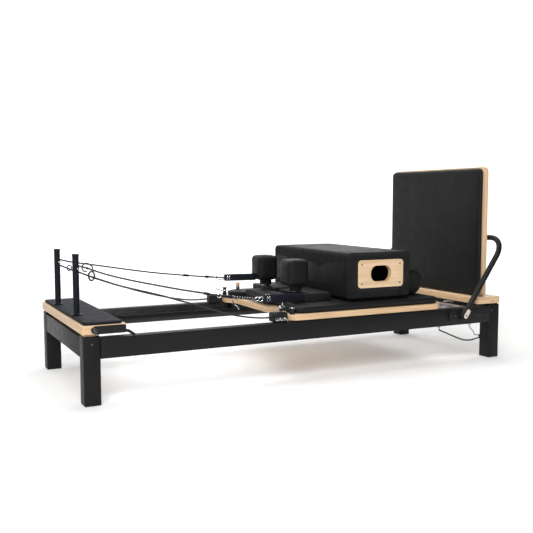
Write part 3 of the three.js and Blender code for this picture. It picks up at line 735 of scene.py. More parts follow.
def evened(mesh, moves, passes=60):
    """The points' moves, averaged with their neighbours', so that a tight cover has no wrinkles."""
    ends = np.empty(len(mesh.edges) * 2, dtype=int)
    mesh.edges.foreach_get("vertices", ends)
    first, second = ends.reshape(-1, 2).T
    count = np.bincount(ends, minlength=len(moves)).reshape(-1, 1)
    for _ in range(passes):
        total = np.zeros_like(moves)
        np.add.at(total, first, moves[second])
        np.add.at(total, second, moves[first])
        moves = 0.4 * moves + 0.6 * total / count
    return moves


def levelled(mesh, axis, place, side):
    """Flattens the part of a mesh that would pass the plane it rests on."""
    limit = at(place, place, place)[axis]
    for v in mesh.vertices:
        if (v.co[axis] - limit) * side < 0:
            v.co[axis] = limit
    return mesh


def cushion_mesh(mesh, voxel, inset, cap, rest=None, smooth=4):
    """A stuffed cover over a plain shape: remeshed, swollen by its filling and flat where it rests."""
    mesh = with_modifiers(
        squeezed(mesh, inset),
        ("REMESH", {"mode": "VOXEL", "voxel_size": voxel * MM}),
        ("SMOOTH", {"factor": 0.5, "iterations": smooth}))
    mesh = swollen(mesh, cap)
    if rest:
        levelled(mesh, *rest)
    return with_modifiers(mesh, ("SUBSURF", {"levels": 1, "render_levels": 1}))


def loop_round(axis, place, low, high, radius):
    """A rounded rectangle round a piece, in the plane that crosses an axis at one place."""
    first, second = [i for i in range(3) if i != axis]
    points = []
    for a, b in oblong(high[first] - low[first], high[second] - low[second], radius, 6):
        point = Vector((place, place, place))
        point[first] = (high[first] + low[first]) / 2 + a
        point[second] = (high[second] + low[second]) / 2 + b
        points.append(point)
    return spread([*points, points[0]], 180)[:-1]


def drawn_in(mesh, loops, depth, width):
    """Pulls the cover in along its seams."""
    places = [at(*p) for loop in loops for p in loop]
    tree = KDTree(len(places))
    for i, place in enumerate(places):
        tree.insert(place, i)
    tree.balance()
    normals = [v.normal.copy() for v in mesh.vertices]
    for v, normal in zip(mesh.vertices, normals):
        gap = tree.find(v.co)[2] / (width * MM)
        if gap < 3:
            v.co -= normal * depth * MM * math.exp(-gap * gap)
    mesh.update()


def welts(mesh, loops, radius, lift=0.2):
    """A thin cord laid on the cover along each closed seam."""
    tree = BVHTree.FromPolygons([v.co for v in mesh.vertices], [p.vertices for p in mesh.polygons])
    shapes = []
    for loop in loops:
        points = []
        for p in loop:
            place, normal = tree.find_nearest(at(*p))[:2]
            points.append(place / MM + Vector((FOOT_REACH, 0, 0)) + normal * lift)
        shapes.append(swept(points, circle(radius, 8), closed=True))
    return shapes


def cushion(name, mesh, material, body, stands_for, seams=(), groove=(1.6, 5), welt=1.1):
    """A finished pad with its seams drawn in and welted."""
    if seams:
        drawn_in(mesh, seams, *groove)
        made(f"{name}_welts", welts(mesh, seams, welt), SEAM_VINYL, body)
    piece = finished(name, mesh, material, body, stands_for, crease=60)
    return piece


def block_mesh(low, high, radius):
    return Kit(block(low, high, radius, 4)).mesh("form")


CARRIAGE = {"head": -178, "foot": 797, "half": 448, "horn": 96, "blend": 90}


def carriage_outline(inset, horn_radius, foot_radius, cut):
    """The outline of the carriage: round corners and a shallow hollow between two horns at its head edge."""
    head, foot = CARRIAGE["head"] + inset[0], CARRIAGE["foot"] - inset[1]
    half = CARRIAGE["half"] - inset[1]
    horn = half - CARRIAGE["horn"]
    corners = (
        (foot - foot_radius, half - foot_radius, foot_radius, 0),
        (head + horn_radius, half - horn_radius, horn_radius, 90))
    points = []
    for x, y, radius, start in corners:
        for degrees in range(start, start + 91, 6):
            a = math.radians(degrees)
            points.append((x + radius * math.cos(a), y + radius * math.sin(a)))
    for i in range(1, 17):
        t = i / 16
        ease = t * t * (3 - 2 * t)
        points.append((head + cut * ease, horn - CARRIAGE["blend"] * t))
    return points + [(x, -y) for x, y in points[::-1]]


def slab(outline, low, high):
    """An upright solid between two heights on an outline."""
    count = len(outline)
    verts = [Vector((x, y, z)) for z in (low, high) for x, y in outline]
    faces = [tuple(range(count)), tuple(range(count, 2 * count))]
    faces += [(i, (i + 1) % count, count + (i + 1) % count, count + i) for i in range(count)]
    return verts, faces, None


def make_carriage_board():
    low, high = extent("carriage_board")
    shape = Kit(slab(carriage_outline((0, 0), 60, 62, 38), low[2], high[2])).mesh("board")
    mesh = with_modifiers(shape, rounding(2.5, 3, 50))
    finished("carriage_board_finish", mesh, BOARD_WOOD, "carriage", ("carriage_board",))


def make_flat_pads():
    pad = cushion_mesh(welded_copy("head_platform_pad"), 4.8, 1.2, 2.0, (2, 357.6, 1), 3)
    cushion("head_platform_cover", pad, NAVY_VINYL, "frame", ("head_platform_pad",))
    low, high = extent("carriage_pad")
    form = Kit(slab(carriage_outline((28, 8), 80, 60, 62), low[2], high[2])).mesh("form")
    pad = cushion_mesh(form, 7, 1.5, 3.5, (2, low[2], 1), 6)
    cushion("carriage_cushion", pad, BLACK_VINYL, "carriage", ("carriage_pad",))
    low, high = extent("jump_board_pad")
    pad = cushion_mesh(welded_copy("jump_board_pad"), 8, 2.0, 4.0, (0, high[0], -1))
    cushion("jump_board_cushion", pad, BLACK_VINYL, "jump_board", ("jump_board_pad",))
    low, high = extent("headrest")
    seam = loop_round(2, (low[2] + high[2]) / 2, low, high, 20)
    pad = cushion_mesh(welded_copy("headrest"), 5, 1.5, 4.0, (2, low[2], 1))
    cushion(
        "headrest_cushion", pad, BLACK_VINYL, "headrest", ("headrest",), [seam], (1.2, 4))


REST = {"x": (-63, 60), "y": 176, "half": 61, "z": (447, 590), "neck_x": 6, "base_top": 415.1}


def make_shoulder_rest(name, side):
    """A stuffed block with a boxing strip between its side panels, on a steel neck with a flange."""
    middle = side * REST["y"]
    low = (REST["x"][0], middle - REST["half"], REST["z"][0])
    high = (REST["x"][1], middle + REST["half"], REST["z"][1])
    seams = [loop_round(1, y, low, high, 20) for y in (low[1] + 9, high[1] - 9)]
    mesh = cushion_mesh(block_mesh(low, high, 22), 5, 1.0, 4.0)
    rest = f"shoulder_rest_{name}"
    cushion(
        f"shoulder_cushion_{name}", mesh, BLACK_VINYL, rest, (rest,), seams, (1.8, 5))
    x, top = REST["neck_x"], REST["base_top"]
    neck = turned(
        [(0, top - 27), (14.6, top - 27), (14.6, top + 4), (17, top + 5), (31, top + 6), (34, top + 9),
         (34, top + 38), (36, top + 41), (0, top + 41)], (x, middle, 0), sides=40)
    bolts = []
    for a in (0.8, 2.4, 3.9, 5.5):
        out = Vector((math.cos(a), math.sin(a), 0))
        bolts.append(dome_screw(Vector((x, middle, top + 26)) + out * 33, out, 3.5))
    made(f"shoulder_neck_{name}", [neck], BLACK_PLASTIC, rest)
    dark_screws(f"shoulder_neck_bolts_{name}", bolts, rest)


def make_shoulder_base(name, side):
    """The firm block under a shoulder rest, with a screwed side plate and a steel collar."""
    node = f"shoulder_base_{name}"
    softened(node, 3.5, BLACK_VINYL, "block", 4)
    low, high = extent(node)
    face = (low if side < 0 else high)[1]
    outer = face + side * 2
    plate = block(
        (low[0] + 12, min(face, outer), low[2] + 3), (high[0] - 8, max(face, outer), high[2] - 9), 0.9)
    screws = [dome_screw((x, outer, low[2] + 9), (0, side, 0), 2.6) for x in (6, 32, 58, 84)]
    collar = turned(
        [(15.6, 0), (21, 0), (21, 3), (19.5, 4.4), (15.6, 4.4), (15.6, 0)],
        (REST["neck_x"], side * REST["y"], high[2]), sides=40)
    y, top = side * 205, high[2]
    slots = [block((x, y - 15, top - 0.5), (x + 3, y + 15, top + 0.9), 0.5) for x in (34, 40)]
    made(f"shoulder_side_plate_{name}", [plate], BLACK_PLASTIC, "carriage")
    made(f"shoulder_side_screws_{name}", screws, CHROME, "carriage")
    made(f"shoulder_collar_{name}", [collar, *slots], CHROME, "carriage")


BOX = {"low": (196, -400, 371.1), "high": (612, 450, 632), "plate": (259, 549, 440, 588), "hole": (130, 86)}


def plate_distance(x, z, grow=0.0):
    """How far a point lies outside a box plate's outline. Negative inside."""
    x0, x1, z0, z1 = BOX["plate"]
    return max(x0 - grow - x, x - x1 - grow, z0 - grow - z, z - z1 - grow)


def plate_middle():
    x0, x1, z0, z1 = BOX["plate"]
    return (x0 + x1) / 2, (z0 + z1) / 2


def sink_plates(mesh):
    """Presses the cover in under each end plate, and opens it behind the hand hole."""
    bm = bmesh.new()
    bm.from_mesh(mesh)
    ends = ((BOX["low"][1], 1), (BOX["high"][1], -1))
    for v in bm.verts:
        x, y, z = v.co / MM + Vector((FOOT_REACH, 0, 0))
        for end, inward in ends:
            if (y - end) * inward < 14:
                share = min(1.0, max(0.0, 1 - plate_distance(x, z) / 9))
                share = share * share * (3 - 2 * share)
                v.co[1] += (end + inward * 3.2 - y) * MM * share
    reach = [size / 2 + 8 for size in BOX["hole"]]
    middle = plate_middle()
    opened = []
    for face in bm.faces:
        x, y, z = face.calc_center_median() / MM + Vector((FOOT_REACH, 0, 0))
        near_end = min(abs(y - end) for end, _ in ends) < 14
        if near_end and abs(x - middle[0]) < reach[0] and abs(z - middle[1]) < reach[1]:
            opened.append(face)
    bmesh.ops.delete(bm, geom=opened, context="FACES")
    bm.to_mesh(mesh)
    bm.free()
    mesh.update()


def make_sitting_box():
    low, high = BOX["low"], BOX["high"]
    mesh = cushion_mesh(block_mesh(low, high, 20), 10, 4.0, 6.0, (2, low[2], 1))
    seams = [loop_round(1, y, low, high, 22) for y in (low[1] + 9, high[1] - 9)]
    drawn_in(mesh, seams, 2.2, 7)
    made("box_welts", welts(mesh, seams, 1.1, -0.4), SEAM_VINYL, "sitting_box")
    sink_plates(mesh)
    cover = finished("box_cover", mesh, BLACK_VINYL, "sitting_box", ("sitting_box",), 60)
    middle_x, middle_z = plate_middle()
    bore = swept([(middle_x, y, middle_z) for y in (-420, 470)], oblong(148, 104, 47, 12))
    lining = carved(squeezed(welded_copy("sitting_box"), 5.5), bore)
    finished("box_lining", lining, BOX_LINING, "sitting_box")
    x0, x1, z0, z1 = BOX["plate"]
    hole = [size / 2 for size in BOX["hole"]]
    for name, start, end in (("near", -395.2, -374), ("far", 445.2, 424)):
        rim = [(start, 0), (end, 0), (end, 7), (start, 7)]
        verts = []
        for y, grow in rim:
            outline = oblong(2 * (hole[0] + grow), 2 * (hole[1] + grow), 38 + grow, 12)
            verts += [Vector((middle_x + a, y, middle_z + b)) for a, b in outline]
        count = len(verts) // 4
        faces = []
        for k in range(4):
            here, there = k * count, (k + 1) % 4 * count
            for i in range(count):
                j = (i + 1) % count
                faces.append((here + i, here + j, there + j, there + i))
        made(f"box_grip_{name}", [(verts, faces, None)], PLATE_WOOD, "sitting_box")
    places = [(x, z) for x in (x0 + 22, x1 - 22) for z in (z0 + 22, z1 - 24)]
    for name, y, out in (("near", low[1] - 1.3, -1), ("far", high[1] + 1.3, 1)):
        screws = [dome_screw((x, y, z), (0, out, 0), 4.6) for x, z in places]
        dark_screws(f"box_plate_screws_{name}", screws, "sitting_box")


BOLSTER = {"x": 689, "z": 444.1, "radius": 73, "y": (-300, 260)}


def make_bolster():
    """A stuffed roll with a welted seam round each end cap."""
    start, end = BOLSTER["y"]
    length, radius = end - start, BOLSTER["radius"]
    rise = [(0, 0), (radius - 14, 0), (radius - 5, 4), (radius, 14)]
    profile = rise + [(across, length - along) for across, along in rise[::-1]]
    form = Kit(turned(profile, (BOLSTER["x"], start, BOLSTER["z"]), (0, 1, 0), 48)).mesh("form")
    mesh = cushion_mesh(form, 8, -2.0, 4.0, (2, BOLSTER["z"] - radius, 1))
    seams = []
    for y in (start + 8, end - 8):
        ring = [(BOLSTER["x"] + a, y, BOLSTER["z"] + b) for a, b in circle(radius - 1, 120)]
        seams.append([Vector(p) for p in ring])
    cushion("bolster_roll", mesh, BLACK_VINYL, "bolster", ("bolster",), seams, (1.8, 5))


def make_jump_board_trim():
    """A welt and a row of tacks along the pad's lower edge, and screws on the back of the panel."""
    welt = swept([(1072, y, 361) for y in range(-405, 406, 30)], oblong(3, 5, 1.2))
    made("jump_board_welt", [welt], SEAM_VINYL, "jump_board")
    tacks = [dome_screw((1069.6, y, 361), (-1, 0, 0), 2.0) for y in range(-390, 391, 60)]
    dark_screws("jump_board_tacks", tacks, "jump_board")
    backs = [dome_screw((1120.3, y, z), (1, 0, 0), 5) for y in (-340, 0, 340) for z in (400, 720, 1040)]
    made("jump_board_screws", backs, CHROME, "jump_board")


make_carriage_board()
make_flat_pads()
for side_name, side_sign in SIDES:
    make_shoulder_rest(side_name, side_sign)
    make_shoulder_base(side_name, side_sign)
make_sitting_box()
make_bolster()
make_jump_board_trim()


# ---------- posts, footbar and springs ----------
POST = {"x": -1170, "y": 205, "base": 372.3, "radius": 15, "top": 645}


def make_post(name, side):
    """A round post on a screwed flange, slotted for the rope and its roller, with a domed cap."""
    x, y, base, radius, top = POST["x"], side * POST["y"], POST["base"], POST["radius"], POST["top"]
    profile = [
        (0, base), (23, base), (24, base + 1), (24, base + 4), (23, base + 5), (radius + 3, base + 5.4),
        (radius + 0.8, base + 7), (radius, base + 10), (radius, top - 1), (radius - 1, top), (0, top)]
    shaft = Kit(turned(profile, (x, y, 0), sides=48)).mesh("shaft")
    z = ROLLER["z"]
    slot = block((x, y - 7, z - 30), (x + 30, y + 7, z + 22), 3)
    finished(
        f"post_tube_{name}", carved(shaft, slot), NAVY_STEEL, "frame", (f"post_{name}",))
    outline = [(0, 0.3), (15, 0.3), (16, 1.2), (16, 8.5), (14.6, 11), (12, 11.8), (0, 12)]
    cap = turned(outline, (x, y, top), sides=48)
    made(f"post_lid_{name}", [cap], NAVY_STEEL, "frame", (f"post_cap_{name}",))
    screws = [
        dome_screw((x + 19.6 * math.cos(a), y + 19.6 * math.sin(a), base + 5), (0, 0, 1), 2.8)
        for a in (math.pi / 4 + math.pi / 2 * i for i in range(4))]
    dark_screws(f"post_screws_{name}", screws)
    pin = [drum((ROLLER["x"], y - 10.4, z), (0, 1, 0), 2.5, 20.8, 0.4, 16)]
    pin += [dome_screw((ROLLER["x"], y + s * 13.3, z), (0, s, 0), 4.2) for s in (-1, 1)]
    made(f"post_pin_{name}", pin, CHROME, "frame")
    half = [(2.9, -4.5), (9.4, -4.5), (10.2, -4.1), (10.2, -3.6), (9.2, -2)]
    profile = [*half, (8.9, 0), *[(across, -along) for across, along in half[::-1]], half[0]]
    roller = f"roller_{name}"
    shape = turned(profile, (ROLLER["x"], y, z), (0, 1, 0), 48)
    made(roller, [shape], ALUMINIUM, roller, (f"rope_{roller}",))


def make_bumper(name, side):
    """A long rubber bar on the platform's edge, with a screwed round end and a strut to the rail."""
    softened(f"side_bumper_{name}", 2.5, BLACK_PLASTIC, steps=3)
    face = side * 469.3
    screw = dome_screw((-1153, face, 338.3), (0, side, 0), 6.5)
    ring = hoop((-1153, face, 338.3), (0, 1, 0), 10.5, 1.3)
    dark_screws(f"bumper_screw_{name}", [screw, ring])
    path = [(x, side * 461, z) for x, z in ((-1018, 330), (-1000, 326), (-972, 306))]
    strut = swept(path, oblong(8, 13, 2))
    made(f"bumper_strut_{name}", [strut], BLACK_STEEL, "frame")


FOOTBAR = {"x": 915, "z": 261, "y": 478, "radius": 15.5, "lean": 55.06, "arm": 398, "bend": 120}


def up_bar(along, y, across=0.0):
    """A place in the footbar's own directions, along its arms, sideways and across them."""
    lean = math.radians(FOOTBAR["lean"])
    x = FOOTBAR["x"] + along * math.cos(lean) - across * math.sin(lean)
    return Vector((x, y, FOOTBAR["z"] + along * math.sin(lean) + across * math.cos(lean)))


def footbar_corner(side):
    points = []
    for degrees in range(0, 91, 5):
        a = math.radians(degrees)
        inward = FOOTBAR["bend"] * (1 - math.cos(a))
        points.append(up_bar(FOOTBAR["arm"] + FOOTBAR["bend"] * math.sin(a), side * (FOOTBAR["y"] - inward)))
    return points


def make_footbar():
    """A bent tube on two flat shoes, each with a pale inset plate and a screw."""
    near, far = footbar_corner(-1), footbar_corner(1)
    path = [up_bar(8, -FOOTBAR["y"]), *near, *far[::-1], up_bar(8, FOOTBAR["y"])]
    made(
        "footbar_bend", [swept(path, circle(FOOTBAR["radius"], 32))], BLACK_STEEL, "footbar",
        ("footbar_tube",))
    direction = (up_bar(1, 0) - up_bar(0, 0)).normalized()
    for name, side in SIDES:
        ends = sorted((side * 463, side * 495.3))
        middle = up_bar(14, 0)
        shoe = swept(
            [middle + Vector((0, y, 0)) for y in (ends[0], ends[0] + 2, ends[1] - 2, ends[1])],
            oblong(38, 82, 18.9, 8), up=direction)
        mesh = with_modifiers(Kit(shoe).mesh("shoe"), rounding(1.8, 3, 50))
        finished(f"footbar_shoe_{name}", mesh, BLACK_PLASTIC, "footbar")
        softened(f"footbar_end_plate_{name}", 0.7, PALE_PLASTIC, steps=3)
        pivot = up_bar(2, side * 496.6)
        screw = dome_screw(pivot, (0, side, 0), 4.2)
        dark_screws(f"footbar_screw_{name}", [screw, hoop(pivot, (0, 1, 0), 5.6, 0.7)], "footbar")
        softened(f"footbar_mount_{name}", 1.0, BLACK_PLASTIC, steps=3)
        bolts = [dome_screw((x, side * 459.3, 261), (0, side, 0), 5) for x in (846, 872)]
        dark_screws(f"footbar_mount_bolts_{name}", bolts)


SPRING = {"x": (510.3, 959.7), "z": 276, "radius": 10.3, "wire": 1.6, "pitch": 4.6, "hook": 24}


def make_spring(number, y):
    """A close coil with a hook at each end, from the carriage to the spring bar."""
    start, end = SPRING["x"]
    z, radius = SPRING["z"], SPRING["radius"]
    first, last = start + SPRING["hook"], end - SPRING["hook"]
    turns = (last - first) / SPRING["pitch"]
    steps = int(turns * 10)
    coil = []
    for i in range(steps + 1):
        a = 2 * math.pi * turns * i / steps
        coil.append((first + (last - first) * i / steps, y + radius * math.cos(a), z + radius * math.sin(a)))
    shapes = [swept(coil, circle(SPRING["wire"], 6))]
    for x, step in ((first, -1), (last, 1)):
        hook = [(x, y + radius, z), (x + step * 4, y + radius * 0.6, z)]
        hook += [(x + step * d, y, z) for d in (8, 16, 23.5)]
        shapes.append(wire_along(hook, 14, 2.2))
        shapes.append(hoop((x + step * 17, y, z), (0, 1, 0), 6, 1.8))
    coil_piece = made(f"spring_coil_{number}", shapes, SPRING_STEEL)
    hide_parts(f"spring_{number}")
    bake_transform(coil_piece)


def make_wheel(end, name, x, side):
    """A soft tyre on a hub."""
    node = f"wheel_{end}_{name}"
    centre = (x, side * 385, 284)
    half = [(10.5, -6.6), (16.4, -7), (17.6, -6.2), (18, -4)]
    tyre = [*half, *[(across, -along) for across, along in half[::-1]], half[0]]
    hub = [(4.4, -6.4), (10.7, -6.4), (10.7, 6.4), (8.5, 6.8), (7.5, 5), (4.4, 5), (4.4, -6.4)]
    made(node + "_tyre", [turned(tyre, centre, (0, 1, 0), 40)], TYRE, node, (node,))
    made(node + "_hub", [turned(hub, centre, (0, 1, 0), 40)], ALUMINIUM, node)


for side_name, side_sign in SIDES:
    make_post(side_name, side_sign)
    make_bumper(side_name, side_sign)
    for end_name, wheel_x in (("head", -65), ("foot", 680)):
        make_wheel(end_name, side_name, wheel_x, side_sign)
make_footbar()
for index, spring_y in enumerate((-210, -70, 70, 210)):
    make_spring(index + 1, spring_y)


# ---------- straps, clips and screws ----------
def make_cleat(name, side):
    """A waisted peg with a clip hung on it."""
    x, y, z = -146, side * 418, 334.6
    profile = [
        (0, 0), (12, 0), (13, 1), (13, 16), (11, 19), (9, 24),
        (9, 40), (11, 45), (13, 47), (13, 49), (11.5, 50), (0, 50)]
    peg = turned(profile, (x, y, z), sides=36)
    made(f"cleat_peg_{name}", [peg], BLACK_PLASTIC, "carriage", (f"cleat_{name}",))
    ring = hoop((x, y, z + 32), (0.15, 0, 1), 13, 2.2)
    path = [(x - back, y, z + up) for back, up in ((13, 32), (32, 36), (46, 42), (58, 50))]
    hook = wire_along(path, 16, 2.6)
    made(f"cleat_clip_{name}", [ring, hook], CHROME, "carriage")
    if side < 0:
        balls = [
            drum((x - 70, y, z + 33), (0, 0, 1), 8, 15, 6, 24),
            drum((x - 55, y, z + 53), (0, 0, 1), 4, 8, 3, 20)]
        made("cleat_balls_near", balls, CHROME, "carriage")
        latch = [
            block((x - 72, y - 9, z + 20), (x - 40, y + 9, z + 34), 4),
            block((x - 44, y - 7, z + 26), (x - 16, y + 7, z + 44), 4)]
        made("cleat_latch_near", latch, BLACK_PLASTIC, "carriage")
    else:
        wood = drum((-72, 392, 392), (0, 0, 1), 11, 21, 3, 32)
        foot = drum((-72, 392, 370), (0, 0, 1), 12, 22, 3, 32)
        made("wooden_peg_far", [wood], BOARD_WOOD, "carriage")
        made("peg_foot_far", [foot], CHROME, "carriage")


def strap_path(x0, x1, y, half, z0, z1):
    """A flat closed loop of strap, from head to foot, that drops from z0 to z1."""
    points = []
    for a, b in oblong(x1 - x0, 2 * half, half - 0.5, 8):
        x = (x0 + x1) / 2 + a
        points.append(Vector((x, y + b, z0 + (z1 - z0) * (x - x0) / (x1 - x0))))
    return points


HAND_LOOPS = {
    "near": {"x": (-243, -23), "y": -300, "half": 12.5, "z": (405, 399), "height": 42},
    "far": {"x": (-252, -61), "y": 176, "half": 12, "z": (470, 466), "height": 36},
}


def make_hand_loop(name):
    """A wide webbing loop with a padded sleeve, a buckle at its head end and a ring for the rope."""
    loop = HAND_LOOPS[name]
    (x0, x1), y, (z0, z1), height = loop["x"], loop["y"], loop["z"], loop["height"]
    strap = swept(strap_path(x0, x1, y, loop["half"], z0, z1), oblong(3.2, height, 1.4, 3), closed=True)
    verts, faces, uvs = strap
    strap = verts, faces, [[(u * MM, v * MM) for u, v in face] for face in uvs]
    made(f"hand_strap_{name}", [strap], STRAP, "carriage", (f"hand_loop_{name}",))
    sleeves = []
    for side in (-1, 1):
        run = [
            (x, y + side * loop["half"], z0 + (z1 - z0) * (x - x0) / (x1 - x0) + 0.3)
            for x in range(int(x0) + 46, int(x1) - 17, 12)]
        sleeves.append(swept(run, oblong(5.4, height - 1, 2.4, 4)))
    sleeve = made(f"hand_sleeve_{name}", sleeves, NAVY_VINYL, "carriage")
    buckle = []
    for step in (10, 24):
        buckle.append(hoop((x0 + step, y, z0), (1, 0, 0), 17, 1.9, height / 36, 28, (0, 0, 1)))
    buckle.append(drum((x0 + 17, y - 16.5, z0 + 5), (0, -1, 0), 4.5, 4, 1.4, 24))
    made(f"hand_buckle_{name}", buckle, CHROME, "carriage")


UPPER_PATHS = {name: smooth_path(places, 120) for name, places in ROPE_UPPER.items()}


def rope_point(name, x):
    """The point of an upper rope above a place along the machine."""
    return min(UPPER_PATHS[name], key=lambda p: abs(p.x - x))


def sleeve_on(name, x0, x1, radius, ends=0.8):
    """A round sleeve over a rope between two places."""
    a, b = rope_point(name, x0), rope_point(name, x1)
    return drum(a, b - a, radius, (b - a).length, ends, 20)


def ring_on(name, x, radius, wire, squash=1.0):
    """A ring that hangs on a rope."""
    ahead = rope_point(name, x + 12) - rope_point(name, x - 12)
    return hoop(rope_point(name, x), ahead.cross(Vector((0, 0, 1))), radius, wire, squash)


def wound_on(name, x0, x1, radius, wire, turns, start):
    """A wire wound round a rope between two places."""
    a, b = rope_point(name, x0), rope_point(name, x1)
    along = (b - a).normalized()
    side = along.cross(Vector((0, 0, 1))).normalized()
    lift = side.cross(along)
    points = []
    steps = int(turns * 12)
    for i in range(steps + 1):
        turn = start + 2 * math.pi * turns * i / steps
        straight = a.lerp(b, i / steps)
        sagging = rope_point(name, x0 + (x1 - x0) * i / steps)
        centre = straight.lerp(Vector((straight.x, sagging.y, sagging.z)), 0.5)
        points.append(centre + (side * math.cos(turn) + lift * math.sin(turn)) * radius)
    return swept(points, circle(wire, 8))


NEAR_HOOK = [
    (-423, -300, 412), (-417, -303, 396), (-408, -306, 384), (-398, -305, 378),
    (-391, -303, 368), (-385, -300, 360), (-379, -298, 366)]
FAR_TRIANGLE = [(-314, 474), (-286, 488), (-259, 486), (-259, 461), (-286, 460), (-312, 472)]
POST_HOOK = [
    (-1099, -211, 575), (-1092, -208, 590), (-1104, -206, 604), (-1122, -206, 612),
    (-1136, -206, 604), (-1141, -207, 590), (-1134, -208, 576), (-1120, -209, 574)]


def make_rope_fittings():
    """The adjusters, rings, buckles and twisted lead between each upper rope and its hand loop."""
    dark = [
        sleeve_on("near", -570, -538, 6.5), sleeve_on("near", -478, -419, 7.2, 2),
        sleeve_on("near", -600, -592, 5), wound_on("near", -419, -291, 5.0, 2.6, 9, 0.0)]
    on_rope(made("rope_adjuster_near", dark, BLACK_PLASTIC))
    bright = [
        ring_on("near", -488, 10, 2.0), wound_on("near", -419, -291, 5.6, 1.7, 9, math.pi),
        ring_on("near", -420, 8, 1.6), ring_on("near", -284, 8, 1.8, 1.6),
        ring_on("near", -262, 10, 2.0, 1.3), wire_along(NEAR_HOOK, 28, 2.4)]
    on_rope(made("rope_rings_near", bright, CHROME))
    dark = [
        sleeve_on("far", -494, -468, 6.5, 2), sleeve_on("far", -372, -348, 7, 2.5),
        sleeve_on("far", -348, -316, 4.6)]
    on_rope(made("rope_adjuster_far", dark, BLACK_PLASTIC))
    bright = [wire_along([(x, 176, z) for x, z in FAR_TRIANGLE], 40, 2.3), ring_on("far", -494, 8, 1.6)]
    on_rope(made("rope_rings_far", bright, CHROME))


def make_post_clips():
    """A snap hook hung on the near ropes, and a smaller ring on the far ones, just off the posts."""
    ring = hoop((-1099, -213, 552), (0, 1, 0), 21, 4.4, 0.66, 36, (1, 0, 0))
    made("post_hook_near", [ring, wire_along(POST_HOOK, 40, 3.4)], DARK_BOLT, "frame")
    swivel = drum((-1099, -212, 570), (0.1, 0, 1), 5, 11, 2, 20)
    made("post_swivel_near", [swivel], BRASS, "frame")
    stop = drum((-1118, -212, 583), (0, 0, 1), 6, 11, 4, 20)
    made("post_stop_near", [stop], BLACK_PLASTIC, "frame")
    ring = hoop((-1109, 205, 556), (0, 1, 0), 14, 3.0, 0.8, 32, (1, 0, 0))
    made("post_ring_far", [ring], DARK_BOLT, "frame")


def make_frame_screws():
    """The bolts that show on the legs, rails and platforms."""
    screws = []
    for _, side in SIDES:
        face = side * 454
        out = (0, side, 0)
        screws += [dome_screw((x, face, 275), out, 5.5) for x in (-1162, 1142)]
        screws += [dome_screw((x, side * 453, 253), out, 3.2) for x in (1044, 1059)]
        screws.append(dome_screw((1144, face, 326), out, 3.6))
        screws += [dome_screw((end * 1200, side * 399, 265), (end, 0, 0), 5.5) for end in (-1, 1)]
    screws += [dome_screw((end * 1199, -23, 261), (end, 0, 0), 7.5) for end in (-1, 1)]
    dark_screws("frame_screws", screws)
    feet = []
    for x in (-1162, 1162):
        for _, side in SIDES:
            feet.append(block((x - 36, side * 414 - 38, 0), (x + 36, side * 414 + 38, 6.5), 1.5))
    made("leg_feet", feet, BLACK_PLASTIC, "frame")
    handle = swept([(1030, -168, 300), (1050, -190, 301), (1066, -216, 300)], oblong(22, 5, 2))
    made("spring_bar_handle", [handle], ALUMINIUM, "frame")


def make_lock_coils():
    """The rope's end wound in front of each rope lock, with its screws."""
    for name, side in SIDES:
        points = []
        for i in range(121):
            a = 2 * math.pi * 8 * i / 120
            points.append((-249 + 66 * i / 120, side * (435.5 + 2.4 * math.cos(a)), 316 + 7.5 * math.sin(a)))
        made(f"lock_coil_{name}", [swept(points, circle(2.0, 8))], SPRING_STEEL, "carriage")
        screws = [dome_screw((x, side * 404, 346.5), (0, 0, 1), 4) for x in (-240, -196)]
        dark_screws(f"lock_screws_{name}", screws, "carriage")


for side_name, side_sign in SIDES:
    make_cleat(side_name, side_sign)
    make_hand_loop(side_name)
make_rope_fittings()
make_post_clips()
make_frame_screws()
make_lock_coils()


# ---------- stage ----------
WORLD = {"dim": 0.16, "bright": 1.05}


def view_forward(lift):
    """The camera's level forward direction, tipped up by a share."""
    yaw = math.radians(CAMERA["yaw"])
    return Vector((math.sin(yaw), math.cos(yaw), lift)).normalized()


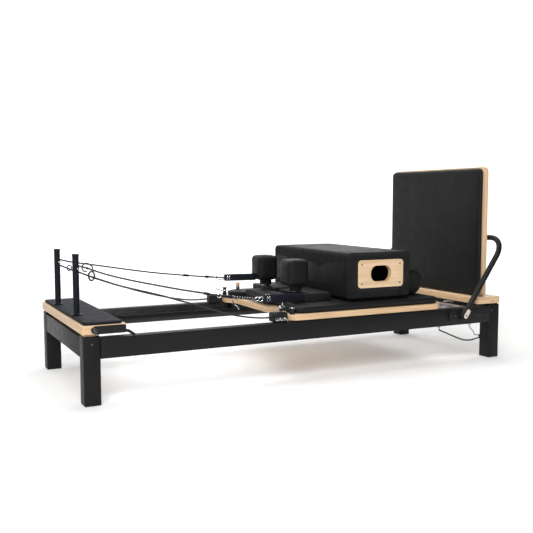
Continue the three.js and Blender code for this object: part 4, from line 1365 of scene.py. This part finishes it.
def make_floor():
    """A wide pale floor that curves up behind into a plain wall."""
    graph = Graph("studio_paper", {"Emission Color": (1, 1, 1, 1), "Specular IOR Level": 0.1})
    away = graph.add("ShaderNodeVectorMath", {0: graph.place}, operation="LENGTH").outputs["Value"]
    glow = graph.span(away, 0.22, 1.0, 2.2, 5.0)
    graph.tree.links.new(glow, graph.shader.inputs["Emission Strength"])
    colour = graph.ramp(graph.noise(0.6, 3), (0.3, (0.80, 0.80, 0.80)), (0.7, (0.83, 0.83, 0.83)))
    material = graph.paint(colour, graph.span(graph.noise(20, 2), 0.75, 0.9), graph.noise(300, 2), 0.02)
    profile = [(-9000, 0), (6000, 0)]
    profile += [
        (6000 + 3000 * math.sin(math.radians(a)), 3000 - 3000 * math.cos(math.radians(a)))
        for a in range(10, 91, 10)]
    profile.append((9000, 9000))
    forward = view_forward(0)
    across = Vector((forward.y, -forward.x, 0))
    verts = [forward * d + across * s + Vector((0, 0, h)) for d, h in profile for s in (-14000, 14000)]
    faces = [(2 * i, 2 * i + 1, 2 * i + 3, 2 * i + 2) for i in range(len(profile) - 1)]
    mesh = bpy.data.meshes.new("floor")
    mesh.from_pydata([v * MM for v in verts], [], faces)
    mesh.materials.append(material)
    mesh.shade_smooth()
    floor = bpy.data.objects.new("floor", mesh)
    bpy.context.scene.collection.objects.link(floor)


def area_light(name, place, target, size, power):
    data = bpy.data.lights.new(name, "AREA")
    data.shape = "RECTANGLE"
    data.size, data.size_y = size
    data.energy = power
    light = bpy.data.objects.new(name, data)
    light.location = at(*place)
    aim = at(*target) - light.location
    light.rotation_euler = aim.to_track_quat("-Z", "Y").to_euler()
    bpy.context.scene.collection.objects.link(light)


def make_world():
    """A studio that is bright overhead and behind the machine, and dim in front of it."""
    world = bpy.data.worlds.new("studio")
    world.use_nodes = True
    tree = world.node_tree
    direction = tree.nodes.new("ShaderNodeTexCoord").outputs["Generated"]
    toward = tree.nodes.new("ShaderNodeVectorMath")
    toward.operation = "DOT_PRODUCT"
    toward.inputs[1].default_value = view_forward(1.3)
    share = tree.nodes.new("ShaderNodeMapRange")
    share.interpolation_type = "SMOOTHSTEP"
    limits = {"From Min": -0.1, "From Max": 0.75, "To Min": WORLD["dim"], "To Max": WORLD["bright"]}
    for name, value in limits.items():
        share.inputs[name].default_value = value
    tree.links.new(direction, toward.inputs[0])
    tree.links.new(toward.outputs["Value"], share.inputs["Value"])
    tree.links.new(share.outputs[0], tree.nodes["Background"].inputs["Strength"])
    bpy.context.scene.world = world


def make_lights():
    bpy.context.scene.view_settings.view_transform = "Standard"
    make_world()
    area_light("key", (-2600, -4300, 4200), (0, 0, 300), (3.2, 3.2), 330)
    area_light("overhead", (200, 900, 3600), (0, 0, 300), (3.6, 3.0), 110)


make_floor()
make_lights()
